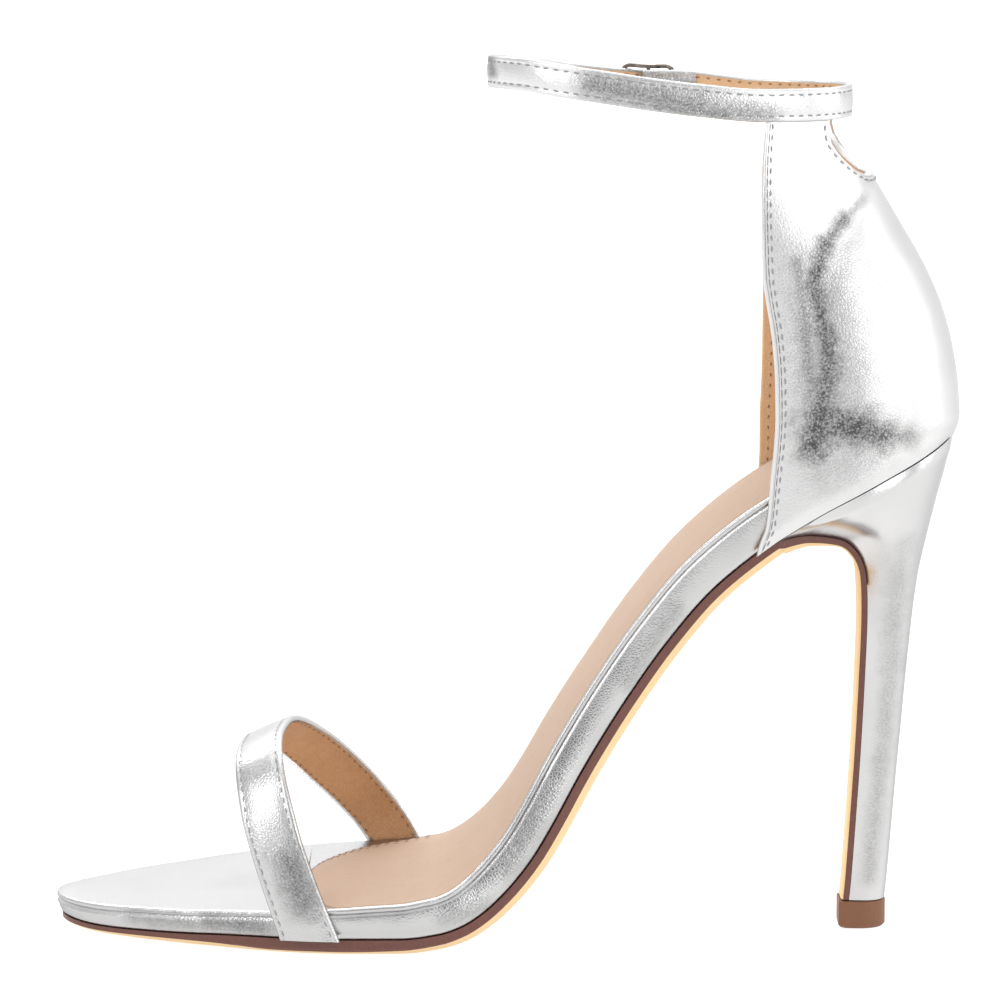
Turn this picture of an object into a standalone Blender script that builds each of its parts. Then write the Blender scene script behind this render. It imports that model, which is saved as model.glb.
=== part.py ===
"""Strappy heeled sandal for the right foot, in metres, +Z up.

The toe points along -X and the medial side is -Y. The upper is a toe strap, and a closed
counter joined to a buckled ankle strap. The footbed is a wrapped platform on the arch of
a high heel, with an outsole that runs on down the front of the heel to the top lift.
"""
import math

import bmesh
import bpy
from mathutils import Vector

# Sole and footbed
SOLE_LENGTH = 0.2019        # toe tip to the back of the seat, in plan
BALL_WIDTH = 0.0720         # across the footbed at the ball
SEAT_WIDTH = 0.0490         # across the footbed at the heel seat
HEEL_RISE = 0.1095          # underside of the seat's back above the ball's underside
TOE_SPRING = 0.0024         # lift of the outsole's tip above the floor
PLATFORM_DEPTH = 0.0086     # thickness of the wrapped footbed at the arch
RIM_DEPTH = 0.0013          # wrapped insole edge that shows as a rim on the footbed's side
RIM_STEP = 0.0006           # rim beyond the groove under it
RIM_ROUND = 0.0004          # rounding of the rim's top edge
WRAP_INSET = 0.0003         # wrapped side inside the rim
WRAP_TURN = 0.0020          # rounding where the wrap turns in under the platform
SOLE_CROWN = 0.0023         # how far the underside bulges below its edges
OUTSOLE_EDGE = 0.0018       # thickness of the outsole at its edge
OUTSOLE_INSET = 0.0012      # how far the outsole stands inside the footbed
FLOOR_FLAT = 0.0004         # depth worn flat off the bulge where the ball meets the floor
SEAT_CENTRE = 0.88          # share of the length where the seat starts to round
SOLE_BEVEL = 0.0037         # width of the outsole's rounded lower edge
SOCK_THICKNESS = 0.0009
SOCK_INSET = 0.0012         # silver rim left round the sock liner
SOCK_PROUD = 0.0002         # sock liner above the rim
SOCK_EDGE = 0.0004          # rounding of its cut edge
SOCK_FRONT = 0.283          # share of the length where the sock liner starts
SOCK_NOSE_MEDIAL = 0.040    # share of the length over which its front edge is round
SOCK_NOSE_LATERAL = 0.150
CLEARANCE = 0.0003          # gap that touching pieces keep

# Heel
HEEL_LIP = 0.0009           # how far the heel's top edge stands outside the footbed
SEAT_TURN = 0.0004          # nearer the seat's back than this, the lip is one point
HEEL_RAKE = 0.0143          # from the heel's back edge forward to the back of its tip
BREAST_START = 0.800        # share of the length where the outsole leaves the footbed
TIP_LENGTH = 0.0083         # heel stem along the foot at the top lift
TIP_FRONT_WIDTH = 0.0094    # flat front face of the stem at the top lift
TIP_WIDTH = 0.0101
LIFT_HEIGHT = 0.0063
LIFT_MARGIN = 0.0002        # top lift beyond the stem
LIFT_EDGE = 0.0006          # bevel under the top lift
LIFT_CORNER = 0.0009        # bevel of its two front corners
FLAP_THICKNESS = 0.0013     # outsole where it covers the front of the heel
FLAP_BULGE = 0.0005         # how far it is rounded there
FLAP_TURN = 8               # cuts over which the outsole thins to that, from the breast

# Toe strap
STRAP_WALL = 0.0016
TOE_STRAP_RISE = 0.0450     # top of the toe strap above the outsole line
TOE_STRAP_EDGE = 0.0007     # rounding of a folded strap edge
TOE_STRAP_FOOT = 0.0002     # how far the ends of the strap stay above the outsole line

# Counter and quarters
COUNTER_WALL = 0.0018
COUNTER_TUCK = 0.0009       # how far the counter curls in under the seat
TUCK_HEIGHT = 0.0038
WIDEST_HEIGHT = 0.1180      # height of the counter's widest level
QUARTER_TAPER = 0.6         # share of the footbed's narrowing that the quarters follow
CUTOUT_FLOOR = 0.1717       # height of the bottom of the back opening
CUTOUT_MEDIAL = 0.0160      # side of the back opening, from the middle of the foot
CUTOUT_LATERAL = 0.0131
CUTOUT_RADIUS = 0.0078
CUTOUT_LEAN = 0.0034        # how far its sides draw in from the corners to the strap

# Ankle strap and buckle
ANKLE_HEIGHT = 0.1845       # underside of the ankle strap at the quarters
ANKLE_LENGTH = 0.0814       # loop outside, along the foot
ANKLE_WIDTH = 0.0530        # loop outside, across the foot
ANKLE_BACK = 0.8891         # share of the sole length at the back of the loop
ANKLE_SQUARENESS = 2.3
STRAP_HEIGHT = 0.0073
STRAP_THICKNESS = 0.0016
STRAP_EDGE = 0.0005         # rounding of the strap's folded edges
STRAP_FRONT_LIFT = 0.0063   # front of the loop above its back
STRAP_CANT = 0.050          # medial side above the lateral side, as a slope
STRAP_SINK = 0.0008         # how far the strap is joined into the quarter's face
BUCKLE_PLACE = 0.5504       # share of the loop's length from its back to the buckle's bar
BUCKLE_LENGTH = 0.0129
BUCKLE_HEIGHT = 0.0099
BUCKLE_ROD = 0.0010
BUCKLE_CORNER = 0.0020      # radius of the frame's corners
BAR_STEP = 0.0003           # how far the bar stands outside the loop's middle line
FOLD_LENGTH = 0.0108        # strap end turned back round the bar
FOLD_THICKNESS = 0.0011
FOLD_OPENING = 0.0022       # where the two layers of the fold part, behind the bar
TAIL_LENGTH = 0.0300        # free end beyond the bar
TAIL_START = 0.0050         # where the free end's own cuts start, ahead of the bar
TAIL_STEP = 0.0017          # distance between those cuts
PRONG_ROD = 0.0010
PRONG_GAP = 0.0001          # prong to the bar that it is hooked round
SLOT_WIDTH = 0.0018         # slot in the fold, for the prong's hook
SLOT_AHEAD = 0.0030
SLOT_BEHIND = 0.0021
STRAP_HOLE = 0.0022
HOLE_PITCH = 0.0060
HOLE_COUNT = 4
HOLE_SKIP = 0.0021          # extra distance to the second hole, clear of the bar
HOLE_DEPTH = 0.0030         # length of the punch at the unused holes
HOLE_OUT = 0.0013           # how far outside the free end's middle that punch stands

MEDIAL = -1
LATERAL = 1


def table(names, *rows):
    """Rows of numbers under named columns."""
    return {name: [row[i] for row in rows] for i, name in enumerate(names.split())}


# Side view and thickness of the sole, by share of its length. rise is a share of HEEL_RISE,
# spring of TOE_SPRING, crown and arch of SOLE_CROWN, edge of OUTSOLE_EDGE, depth of
# PLATFORM_DEPTH, and lean is how far the footbed's side stands square to its slope.
SIDE = table(
    "along rise spring crown arch edge depth lean",
    (0.000, 0.000, 1.00, 0.10, 0.10, 0.55, 0.55, 0.00),
    (0.055, 0.000, 0.42, 0.40, 0.40, 0.55, 0.62, 1.00),
    (0.112, 0.000, 0.24, 0.66, 0.66, 0.62, 0.65, 1.00),
    (0.158, 0.000, 0.14, 0.80, 0.80, 0.76, 0.66, 1.00),
    (0.196, 0.000, 0.08, 0.90, 0.90, 0.92, 0.68, 1.00),
    (0.242, 0.000, 0.02, 0.97, 0.97, 1.00, 0.72, 1.00),
    (0.272, 0.000, 0.00, 1.00, 1.00, 1.00, 0.77, 1.00),
    (0.330, 0.000, 0.00, 1.00, 1.00, 1.00, 0.86, 1.00),
    (0.390, 0.000, 0.00, 1.00, 1.00, 1.00, 0.95, 1.00),
    (0.434, 0.008, 0.00, 1.00, 1.00, 1.00, 1.00, 1.00),
    (0.456, 0.021, 0.00, 1.00, 1.00, 1.00, 1.00, 1.00),
    (0.478, 0.044, 0.00, 1.00, 1.00, 1.00, 1.00, 1.00),
    (0.505, 0.087, 0.00, 1.00, 1.00, 1.00, 1.00, 1.00),
    (0.535, 0.153, 0.00, 1.00, 1.00, 1.00, 0.99, 1.00),
    (0.561, 0.231, 0.00, 1.00, 1.00, 1.00, 0.98, 1.00),
    (0.589, 0.324, 0.00, 1.00, 1.00, 1.00, 0.99, 1.00),
    (0.617, 0.409, 0.00, 1.00, 1.00, 1.00, 1.00, 1.00),
    (0.639, 0.472, 0.00, 1.00, 1.00, 1.00, 1.01, 1.00),
    (0.684, 0.590, 0.00, 1.00, 1.00, 1.00, 1.02, 1.00),
    (0.731, 0.694, 0.00, 1.00, 0.90, 1.00, 1.04, 1.00),
    (0.777, 0.769, 0.00, 1.00, 0.35, 1.00, 1.06, 1.00),
    (0.800, 0.801, 0.00, 0.95, 0.00, 1.00, 1.06, 1.00),
    (0.829, 0.836, 0.00, 0.50, 0.00, 1.00, 1.05, 0.85),
    (0.862, 0.871, 0.00, 0.00, 0.00, 1.00, 1.04, 0.60),
    (0.892, 0.900, 0.00, 0.00, 0.00, 1.00, 1.02, 0.40),
    (0.929, 0.935, 0.00, 0.00, 0.00, 1.00, 0.98, 0.20),
    (0.966, 0.968, 0.00, 0.00, 0.00, 1.00, 0.94, 0.00),
    (1.000, 1.000, 0.00, 0.00, 0.00, 1.00, 0.90, 0.00),
)

# Half widths of the footbed, by share of the length. medial and lateral are shares of
# half BALL_WIDTH, and seat is a share of half SEAT_WIDTH that is added to both.
PLAN = table(
    "along medial lateral seat",
    (0.0000, 0.000, 0.000, 0.000),
    (0.0114, 0.217, 0.203, 0.000),
    (0.0300, 0.340, 0.345, 0.000),
    (0.0550, 0.442, 0.478, 0.000),
    (0.1120, 0.617, 0.683, 0.000),
    (0.1580, 0.728, 0.817, 0.000),
    (0.1960, 0.808, 0.906, 0.000),
    (0.2420, 0.889, 0.978, 0.000),
    (0.2870, 0.944, 1.011, 0.000),
    (0.3320, 0.969, 1.025, 0.000),
    (0.3900, 0.966, 1.022, 0.000),
    (0.4360, 0.933, 1.000, 0.000),
    (0.4780, 0.893, 0.968, 0.000),
    (0.5050, 0.705, 0.770, 0.210),
    (0.5350, 0.500, 0.560, 0.440),
    (0.5610, 0.330, 0.370, 0.620),
    (0.5890, 0.200, 0.240, 0.722),
    (0.6170, 0.100, 0.140, 0.800),
    (0.6390, 0.050, 0.070, 0.845),
    (0.6840, 0.000, 0.050, 0.890),
    (0.7310, 0.000, 0.035, 0.905),
    (0.7770, 0.000, 0.012, 0.950),
    (0.8170, 0.000, 0.000, 0.985),
    (0.8800, 0.000, 0.000, 1.000),
)

# Toe strap, cut across every few millimetres from the medial end over the foot to the
# lateral end. Places are shares of the sole length, heights are shares of TOE_STRAP_RISE,
# and side runs from -1 at the medial edge of the sole to 1 at the lateral edge.
TOE_STRAP = table(
    "front_along front_up rear_along rear_up side",
    (0.2575, 0.000, 0.3235, 0.000, -1.000),
    (0.2430, 0.190, 0.3035, 0.225, -1.000),
    (0.2290, 0.380, 0.2850, 0.450, -0.985),
    (0.2165, 0.564, 0.2715, 0.656, -0.940),
    (0.2095, 0.725, 0.2620, 0.820, -0.850),
    (0.2065, 0.828, 0.2580, 0.922, -0.720),
    (0.2070, 0.882, 0.2575, 0.976, -0.540),
    (0.2105, 0.900, 0.2610, 0.997, -0.330),
    (0.2155, 0.895, 0.2680, 0.996, -0.100),
    (0.2260, 0.850, 0.2790, 0.955, 0.130),
    (0.2400, 0.776, 0.2940, 0.885, 0.330),
    (0.2590, 0.668, 0.3140, 0.786, 0.520),
    (0.2815, 0.541, 0.3370, 0.660, 0.690),
    (0.3065, 0.408, 0.3610, 0.518, 0.830),
    (0.3305, 0.262, 0.3845, 0.357, 0.970),
    (0.3500, 0.120, 0.4060, 0.185, 1.000),
    (0.3600, 0.000, 0.4200, 0.000, 1.000),
)

# Heel, cut by planes from its front face to its back. front_run and front_drop run from
# where the outsole leaves the footbed to the stem's front at the top lift, back_run and
# back_drop from the seat's back edge to the stem's back. flare and fullness are shares of
# the way from the tip's width to the seat's, and widest is where a cut is widest.
HEEL = table(
    "front_run front_drop back_run back_drop flare fullness widest",
    (0.017, -0.001, 0.000, 0.000, 0.975, 1.000, 0.400),
    (0.128, -0.005, 0.021, 0.020, 0.807, 0.985, 0.410),
    (0.294, -0.009, 0.073, 0.046, 0.690, 0.935, 0.420),
    (0.455, -0.008, 0.133, 0.079, 0.584, 0.862, 0.430),
    (0.700, 0.001, 0.210, 0.116, 0.452, 0.743, 0.440),
    (0.893, 0.016, 0.287, 0.158, 0.345, 0.610, 0.450),
    (1.027, 0.043, 0.371, 0.205, 0.274, 0.481, 0.450),
    (1.118, 0.079, 0.451, 0.252, 0.213, 0.373, 0.450),
    (1.166, 0.128, 0.521, 0.299, 0.168, 0.289, 0.450),
    (1.182, 0.240, 0.598, 0.378, 0.102, 0.170, 0.450),
    (1.160, 0.402, 0.696, 0.514, 0.061, 0.091, 0.450),
    (1.134, 0.538, 0.769, 0.631, 0.041, 0.057, 0.450),
    (1.102, 0.673, 0.836, 0.734, 0.025, 0.037, 0.450),
    (1.032, 0.918, 0.951, 0.931, 0.005, 0.007, 0.450),
    (1.000, 1.000, 1.000, 1.000, 0.000, 0.000, 0.450),
)

# Counter and quarters, by share of the way up from the widest level to the ankle strap.
# lean blends a level's outline from the seat's to the ankle loop's.
COUNTER = table(
    "up lean",
    (-0.450, 0.000),
    (-0.060, 0.000),
    (0.000, -0.012),
    (0.069, 0.000),
    (0.219, 0.055),
    (0.369, 0.165),
    (0.518, 0.341),
    (0.666, 0.569),
    (0.766, 0.722),
    (0.882, 0.875),
    (1.000, 1.000),
    (1.100, 1.000),
)

# Ankle strap, by share of the way forward along its loop. climb is a share of
# STRAP_FRONT_LIFT, and cant is a share of STRAP_CANT.
ANKLE_STRAP = table(
    "forward climb cant",
    (-0.200, 0.000, 0.300),
    (0.000, 0.000, 0.300),
    (0.092, -0.030, 0.320),
    (0.252, -0.015, 0.300),
    (0.350, 0.087, 0.220),
    (0.412, 0.180, 0.220),
    (0.559, 0.320, 0.660),
    (0.694, 0.520, 0.950),
    (0.805, 0.720, 1.000),
    (0.915, 0.940, 1.000),
    (1.000, 1.000, 1.000),
    (1.200, 1.000, 1.000),
)

# Front edges of the two quarters, as shares of the sole length.
QUARTER_FRONT = table(
    "up medial lateral",
    (-0.450, 0.7800, 0.7800),
    (-0.394, 0.7840, 0.7840),
    (-0.350, 0.7895, 0.7895),
    (-0.290, 0.7925, 0.7925),
    (-0.185, 0.7955, 0.7950),
    (-0.047, 0.7995, 0.7950),
    (0.022, 0.8004, 0.7962),
    (0.159, 0.7994, 0.7972),
    (0.296, 0.7955, 0.7975),
    (0.432, 0.7880, 0.7975),
    (0.500, 0.7850, 0.7970),
    (0.734, 0.7836, 0.7950),
    (0.862, 0.7846, 0.7968),
    (1.000, 0.7880, 0.8010),
    (1.100, 0.7880, 0.8010),
)


def monotone(keys, values, at):
    """Smooth curve through a table's points that never swings past them."""
    if at <= keys[0]:
        return values[0]
    if at >= keys[-1]:
        return values[-1]
    slopes = [(values[i + 1] - values[i]) / (keys[i + 1] - keys[i]) for i in range(len(keys) - 1)]
    i = max(j for j in range(len(keys) - 1) if keys[j] <= at)

    def tangent(j):
        if j == 0 or j == len(slopes):
            return slopes[min(j, len(slopes) - 1)]
        before, after = slopes[j - 1], slopes[j]
        if before * after <= 0:
            return 0.0
        left, right = keys[j] - keys[j - 1], keys[j + 1] - keys[j]
        near, far = 2 * right + left, right + 2 * left
        return (near + far) / (near / before + far / after)

    width = keys[i + 1] - keys[i]
    t = (at - keys[i]) / width
    return (values[i] * (1 + 2 * t) * (1 - t) ** 2 + values[i + 1] * t * t * (3 - 2 * t)
            + width * (tangent(i) * t * (1 - t) ** 2 - tangent(i + 1) * t * t * (1 - t)))


def side(column, along):
    """A column of the side view at a share of the length."""
    return monotone(SIDE["along"], SIDE[column], along)


def lerp(low, high, share):
    return low + (high - low) * share


def smooth_path(points, steps):
    """Points of a Catmull-Rom curve through the given points."""
    path = []
    last = len(points) - 1
    for i in range(last):
        p0, p1 = points[max(i - 1, 0)], points[i]
        p2, p3 = points[i + 1], points[min(i + 2, last)]
        for step in range(steps):
            t = step / steps
            path.append(0.5 * (2 * p1 + (p2 - p0) * t + (2 * p0 - 5 * p1 + 4 * p2 - p3) * t * t
                               + (3 * p1 - 3 * p2 + p3 - p0) * t ** 3))
    return path + [points[last].copy()]


# The last: outline and side view of the foot that the sandal is built on

def feather_height(x):
    """Height of the footbed's lower edge, which follows the last from toe to seat."""
    along = min(max(x / SOLE_LENGTH, 0.0), 1.0)
    floor = side("edge", along) * OUTSOLE_EDGE + CLEARANCE - FLOOR_FLAT
    floor += side("crown", min(along, SIDE["along"][8])) * SOLE_CROWN
    return floor + side("spring", along) * TOE_SPRING + side("rise", along) * HEEL_RISE


def slope_angle(x):
    """Slope of the sole's side view at x, as an angle."""
    step = SOLE_LENGTH * 0.004
    run = min(x + step, SOLE_LENGTH) - max(x - step, 0.0)
    fall = feather_height(min(x + step, SOLE_LENGTH)) - feather_height(max(x - step, 0.0))
    return math.atan2(fall, run)


def half_width(x, hand):
    """Half width of the footbed's plan at x, on one hand."""
    centre = SEAT_CENTRE * SOLE_LENGTH
    if x <= 0 or x >= SOLE_LENGTH:
        return 0.0
    if x > centre:
        share = (x - centre) / (SOLE_LENGTH - centre)
        return 0.5 * SEAT_WIDTH * math.sqrt(max(1 - share * share, 0.0))
    root = math.sqrt(x / SOLE_LENGTH)
    roots = [math.sqrt(key) for key in PLAN["along"]]
    name = "medial" if hand == MEDIAL else "lateral"
    ball = monotone(roots, PLAN[name], root)
    seat = monotone(roots, PLAN["seat"], root)
    return 0.5 * (ball * BALL_WIDTH + seat * SEAT_WIDTH)


def plan_point(x, hand, outset):
    """Point of the plan outline at x, moved outwards square to the outline."""
    step = SOLE_LENGTH * 0.0004
    low, high = max(x - step, 0.0), min(x + step, SOLE_LENGTH)
    run = high - low
    growth = half_width(high, hand) - half_width(low, hand)
    length = math.hypot(run, growth)
    if x <= 0:
        normal = (-1.0, 0.0)
    elif x >= SOLE_LENGTH:
        normal = (1.0, 0.0)
    else:
        normal = (-growth / length, run / length)
    return (x + normal[0] * outset, hand * max(half_width(x, hand) + normal[1] * outset, 0.0))


def stations(start, end, count, round_start, round_end):
    """Places along the foot, closer together where an end is round."""
    shares = []
    for i in range(count + 1):
        t = i / count
        if round_start:
            shares.append(1 - math.cos(0.5 * math.pi * t))
        else:
            shares.append(math.sin(0.5 * math.pi * t) if round_end else t)
    return [lerp(start, end, share) for share in shares]


# Meshes

def material(name, colour, roughness, metallic):
    finish = bpy.data.materials.new(name)
    finish.use_nodes = True
    shader = finish.node_tree.nodes["Principled BSDF"]
    shader.inputs["Base Color"].default_value = (*colour, 1.0)
    shader.inputs["Roughness"].default_value = roughness
    shader.inputs["Metallic"].default_value = metallic
    return finish


def make_object(name, mesh_data, finish, sharp_angle=math.radians(40)):
    """An object from a bmesh, cleaned, facing outwards and shaded smooth."""
    bmesh.ops.remove_doubles(mesh_data, verts=mesh_data.verts, dist=1e-6)
    bmesh.ops.dissolve_degenerate(mesh_data, dist=1e-7, edges=mesh_data.edges)
    bmesh.ops.recalc_face_normals(mesh_data, faces=mesh_data.faces)
    mesh = bpy.data.meshes.new(name)
    mesh_data.to_mesh(mesh)
    mesh_data.free()
    mesh.shade_smooth()
    mesh.set_sharp_from_angle(angle=sharp_angle)
    if finish:
        mesh.materials.append(finish)
    piece = bpy.data.objects.new(name, mesh)
    bpy.context.scene.collection.objects.link(piece)
    return piece


def add_loft(mesh_data, rings, cap_first=True, cap_last=True):
    """Quads between rings of points, with the end rings closed by one face each."""
    loops = [[mesh_data.verts.new(point) for point in ring] for ring in rings]
    count = len(loops[0])
    for first, second in zip(loops, loops[1:]):
        for k in range(count):
            following = (k + 1) % count
            mesh_data.faces.new((first[k], first[following], second[following], second[k]))
    if cap_first:
        mesh_data.faces.new(loops[0])
    if cap_last:
        mesh_data.faces.new(loops[-1])


def add_paired_loft(mesh_data, rings):
    """A loft whose rings are mirror pairs, with end faces made of strips across."""
    loops = [[mesh_data.verts.new(point) for point in ring] for ring in rings]
    count = len(loops[0])
    for first, second in zip(loops, loops[1:]):
        for k in range(count):
            following = (k + 1) % count
            mesh_data.faces.new((first[k], first[following], second[following], second[k]))
    for loop in (loops[0], loops[-1]):
        for k in range(count // 2 - 1):
            mesh_data.faces.new((loop[k], loop[k + 1], loop[count - 2 - k], loop[count - 1 - k]))


def join_with(piece, other, operation):
    """Boolean of a piece with a guide object, which the model then leaves out."""
    other.hide_render = True
    other.display_type = "WIRE"
    step = piece.modifiers.new(operation.title() + " " + other.name, "BOOLEAN")
    step.operation = operation
    step.solver = "EXACT"
    step.object = other


# Sole pieces: slabs that follow the last, cut across at stations from the toe

def across(first, second, share):
    """Point at a share of the way from one point to another."""
    return tuple(lerp(a, b, share) for a, b in zip(first, second))


def slab_ring(x, side_profile, low_bulge, top_points):
    """Points round a slab's cut: down the medial side, across below, up and back across."""
    medial = [(*plan_point(x, MEDIAL, -inset), level) for inset, level in side_profile(x)]
    lateral = [(*plan_point(x, LATERAL, -inset), level) for inset, level in side_profile(x)]
    ring = list(medial)
    for share in (0.20, 0.50, 0.80):
        px, py, level = across(medial[-1], lateral[-1], share)
        ring.append((px, py, level - low_bulge(x) * (1 - (2 * share - 1) ** 2)))
    ring += reversed(lateral)
    ring += top_points(x, medial[0], lateral[0])
    return [on_sole(px, py, level) for px, py, level in ring]


def on_sole(px, py, level):
    """A point at a level above the footbed's lower edge, square to its slope there."""
    along = min(max(px / SOLE_LENGTH, 0.0), 1.0)
    angle = slope_angle(px)
    tilt = angle * side("lean", along)
    return (px - math.sin(tilt) * level, py, feather_height(px) + math.cos(tilt) * level)


def footbed_depth(x):
    return side("depth", x / SOLE_LENGTH) * PLATFORM_DEPTH


def footbed_side(x):
    """Inset and level down the footbed's wrapped side, with the rim's step."""
    depth = footbed_depth(x)
    return ((RIM_STEP, depth), (0.0, depth - RIM_ROUND), (0.0001, depth - RIM_DEPTH),
            (RIM_STEP, depth - RIM_DEPTH - 0.0002), (WRAP_INSET, depth - RIM_DEPTH - RIM_STEP),
            (WRAP_INSET + 0.0001, WRAP_TURN), (0.7 * WRAP_TURN, 0.0))


def sole_stations():
    """Places along the footbed: toe, front of the sock liner, and back to the seat."""
    front = SOCK_FRONT * SOLE_LENGTH
    nose = SOCK_NOSE_MEDIAL * SOLE_LENGTH
    seat = SEAT_CENTRE * SOLE_LENGTH
    toe = stations(0.0, front - CLEARANCE, 13, True, False)
    turn = stations(front, front + nose, 5, True, False)
    rest = stations(front + nose, seat, 27, False, False)
    back = stations(seat, SOLE_LENGTH, 9, False, True)
    return toe, turn[:-1] + rest[:-1] + back


def sock_point(x, hand, inset):
    """Plan point of the sock liner's edge, which is round at its front."""
    front = SOCK_FRONT * SOLE_LENGTH + min(inset, 0.0)
    nose = (SOCK_NOSE_MEDIAL if hand == MEDIAL else SOCK_NOSE_LATERAL) * SOLE_LENGTH - min(inset, 0.0)
    if x >= front + nose:
        return plan_point(x, hand, -SOCK_INSET - inset)
    swell = math.sqrt(max(1 - ((front + nose - x) / nose) ** 2, 0.0))
    px, py = plan_point(x, hand, -SOCK_INSET - inset)
    return (lerp(x, px, swell), py * swell)


def sock_pocket(x, medial, lateral):
    """Points across the footbed's top, with the pocket that the sock liner lies in."""
    if x < SOCK_FRONT * SOLE_LENGTH - 0.5 * CLEARANCE:
        return [across(lateral, medial, 0.5)] * 5
    depth = SOCK_THICKNESS + CLEARANCE - SOCK_PROUD
    level = footbed_depth(x)
    out_m = sock_point(x, MEDIAL, -CLEARANCE)
    out_l = sock_point(x, LATERAL, -CLEARANCE)
    floor = level - depth if out_l[1] - out_m[1] > CLEARANCE else level
    return [(*out_l, level), (*out_l, floor), (*across(out_l, out_m, 0.5), floor), (*out_m, floor),
            (*out_m, level)]


def build_footbed(finish):
    mesh_data = bmesh.new()
    toe, rest = sole_stations()
    rings = [slab_ring(x, footbed_side,
                       lambda at: side("arch", at / SOLE_LENGTH) * SOLE_CROWN,
                       sock_pocket)
             for x in toe + rest]
    add_loft(mesh_data, rings, False, False)
    return make_object("footbed", mesh_data, finish)


def build_sock_liner(finish):
    """Liner in the footbed's pocket, with a rounded front edge under the toe strap."""
    def ring(x):
        low = footbed_depth(x) + SOCK_PROUD - SOCK_THICKNESS
        profile = ((SOCK_EDGE, SOCK_THICKNESS), (0.0, 0.6 * SOCK_THICKNESS), (0.0, 0.0))
        medial = [(*sock_point(x, MEDIAL, inset), low + level) for inset, level in profile]
        lateral = [(*sock_point(x, LATERAL, inset), low + level) for inset, level in profile]
        loop = medial + [across(medial[-1], lateral[-1], 0.5)]
        loop += lateral[::-1] + [across(lateral[0], medial[0], 0.5)]
        return [on_sole(px, py, level) for px, py, level in loop]

    mesh_data = bmesh.new()
    add_loft(mesh_data, [ring(x) for x in sole_stations()[1]], False, False)
    return make_object("sock_liner", mesh_data, finish)


def heel_front(row):
    """Front point of a heel cut: X, Z and half width."""
    start_x = BREAST_START * SOLE_LENGTH
    start_z = feather_height(start_x) - CLEARANCE
    end_x = SOLE_LENGTH + HEEL_LIP - HEEL_RAKE - TIP_LENGTH
    end_z = LIFT_HEIGHT + CLEARANCE
    return (lerp(start_x, end_x, HEEL["front_run"][row]),
            lerp(start_z, end_z, HEEL["front_drop"][row]),
            0.5 * lerp(TIP_FRONT_WIDTH, SEAT_WIDTH, HEEL["flare"][row]))


def heel_back(row):
    """Back point of a heel cut: X, Z and half width at its widest."""
    start_x = SOLE_LENGTH + HEEL_LIP
    start_z = feather_height(SOLE_LENGTH) - CLEARANCE
    return (start_x - HEEL_RAKE * HEEL["back_run"][row],
            lerp(start_z, LIFT_HEIGHT + CLEARANCE, HEEL["back_drop"][row]),
            0.5 * lerp(TIP_WIDTH, SEAT_WIDTH + 2 * HEEL_LIP, HEEL["fullness"][row]))


def heel_half_width(share, front_half, full_half, widest):
    """Half width of a heel cut: flat front, swelling sides, round back."""
    if share < widest:
        return lerp(front_half, full_half, math.sin(0.5 * math.pi * share / widest))
    return full_half * math.sqrt(max(1 - ((share - widest) / (1 - widest)) ** 2, 0.0))


def heel_shares(widest):
    """Shares from front to back at which a heel cut has its points."""
    fronts = [widest * i / 4 for i in range(4)]
    return fronts + [lerp(widest, 1.0, math.sin(0.5 * math.pi * i / 8)) for i in range(9)]


def build_heel(finish):
    rings = []
    for row in range(len(HEEL["widest"])):
        front_x, front_z, front_half = heel_front(row)
        back_x, back_z, full_half = heel_back(row)
        half = []
        for share in heel_shares(HEEL["widest"][row]):
            x = lerp(front_x, back_x, share)
            if row == 0:
                top_x, y = plan_point(min(x, SOLE_LENGTH), LATERAL, HEEL_LIP)
                if x > SOLE_LENGTH - SEAT_TURN:
                    top_x, y = SOLE_LENGTH + HEEL_LIP, 0.0
                half.append((top_x, y, feather_height(top_x) - CLEARANCE))
            else:
                y = heel_half_width(share, front_half, full_half, HEEL["widest"][row])
                half.append((x, y, lerp(front_z, back_z, share)))
        rings.append([(x, -y, z) for x, y, z in half] + [(x, y, z) for x, y, z in reversed(half)])
    mesh_data = bmesh.new()
    add_paired_loft(mesh_data, rings)
    return make_object("heel", mesh_data, finish)


def build_top_lift(finish):
    """Block that the heel stands on, under the stem and the end of the outsole."""
    rows = len(HEEL["widest"]) - 1
    front_x = heel_front(rows)[0] - CLEARANCE - FLAP_THICKNESS - FLAP_BULGE - LIFT_MARGIN
    back_x = heel_back(rows)[0] + LIFT_MARGIN
    widest = HEEL["widest"][rows]
    levels = ((LIFT_EDGE, 0.0), (0.0, LIFT_EDGE), (0.0, LIFT_HEIGHT - LIFT_MARGIN),
              (LIFT_MARGIN, LIFT_HEIGHT))
    rings = []
    for inset, z in levels:
        front_half = 0.5 * TIP_FRONT_WIDTH + LIFT_MARGIN - inset
        full_half = 0.5 * TIP_WIDTH + LIFT_MARGIN - inset
        half = []
        for share in heel_shares(widest):
            x = lerp(front_x + inset, back_x - inset, share)
            half.append((x, heel_half_width(share, front_half, full_half, widest), z))
        corner = half[0]
        half[0] = (corner[0] + LIFT_CORNER, corner[1], corner[2])
        half.insert(0, (corner[0], corner[1] - LIFT_CORNER, corner[2]))
        rings.append([(x, -y, z) for x, y, z in half] + [(x, y, z) for x, y, z in reversed(half)])
    mesh_data = bmesh.new()
    add_paired_loft(mesh_data, rings)
    return make_object("top_lift", mesh_data, finish)


def outsole_side(thickness, crown):
    """Inset and level down the outsole's edge and its rounded lower corner."""
    bevel = SOLE_BEVEL * min(crown / SOLE_CROWN, 1.0)
    return ((0.0, 0.0), (0.0, -thickness), (0.32 * bevel, -thickness - 0.52 * crown),
            (bevel, -thickness - 0.90 * crown))


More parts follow.
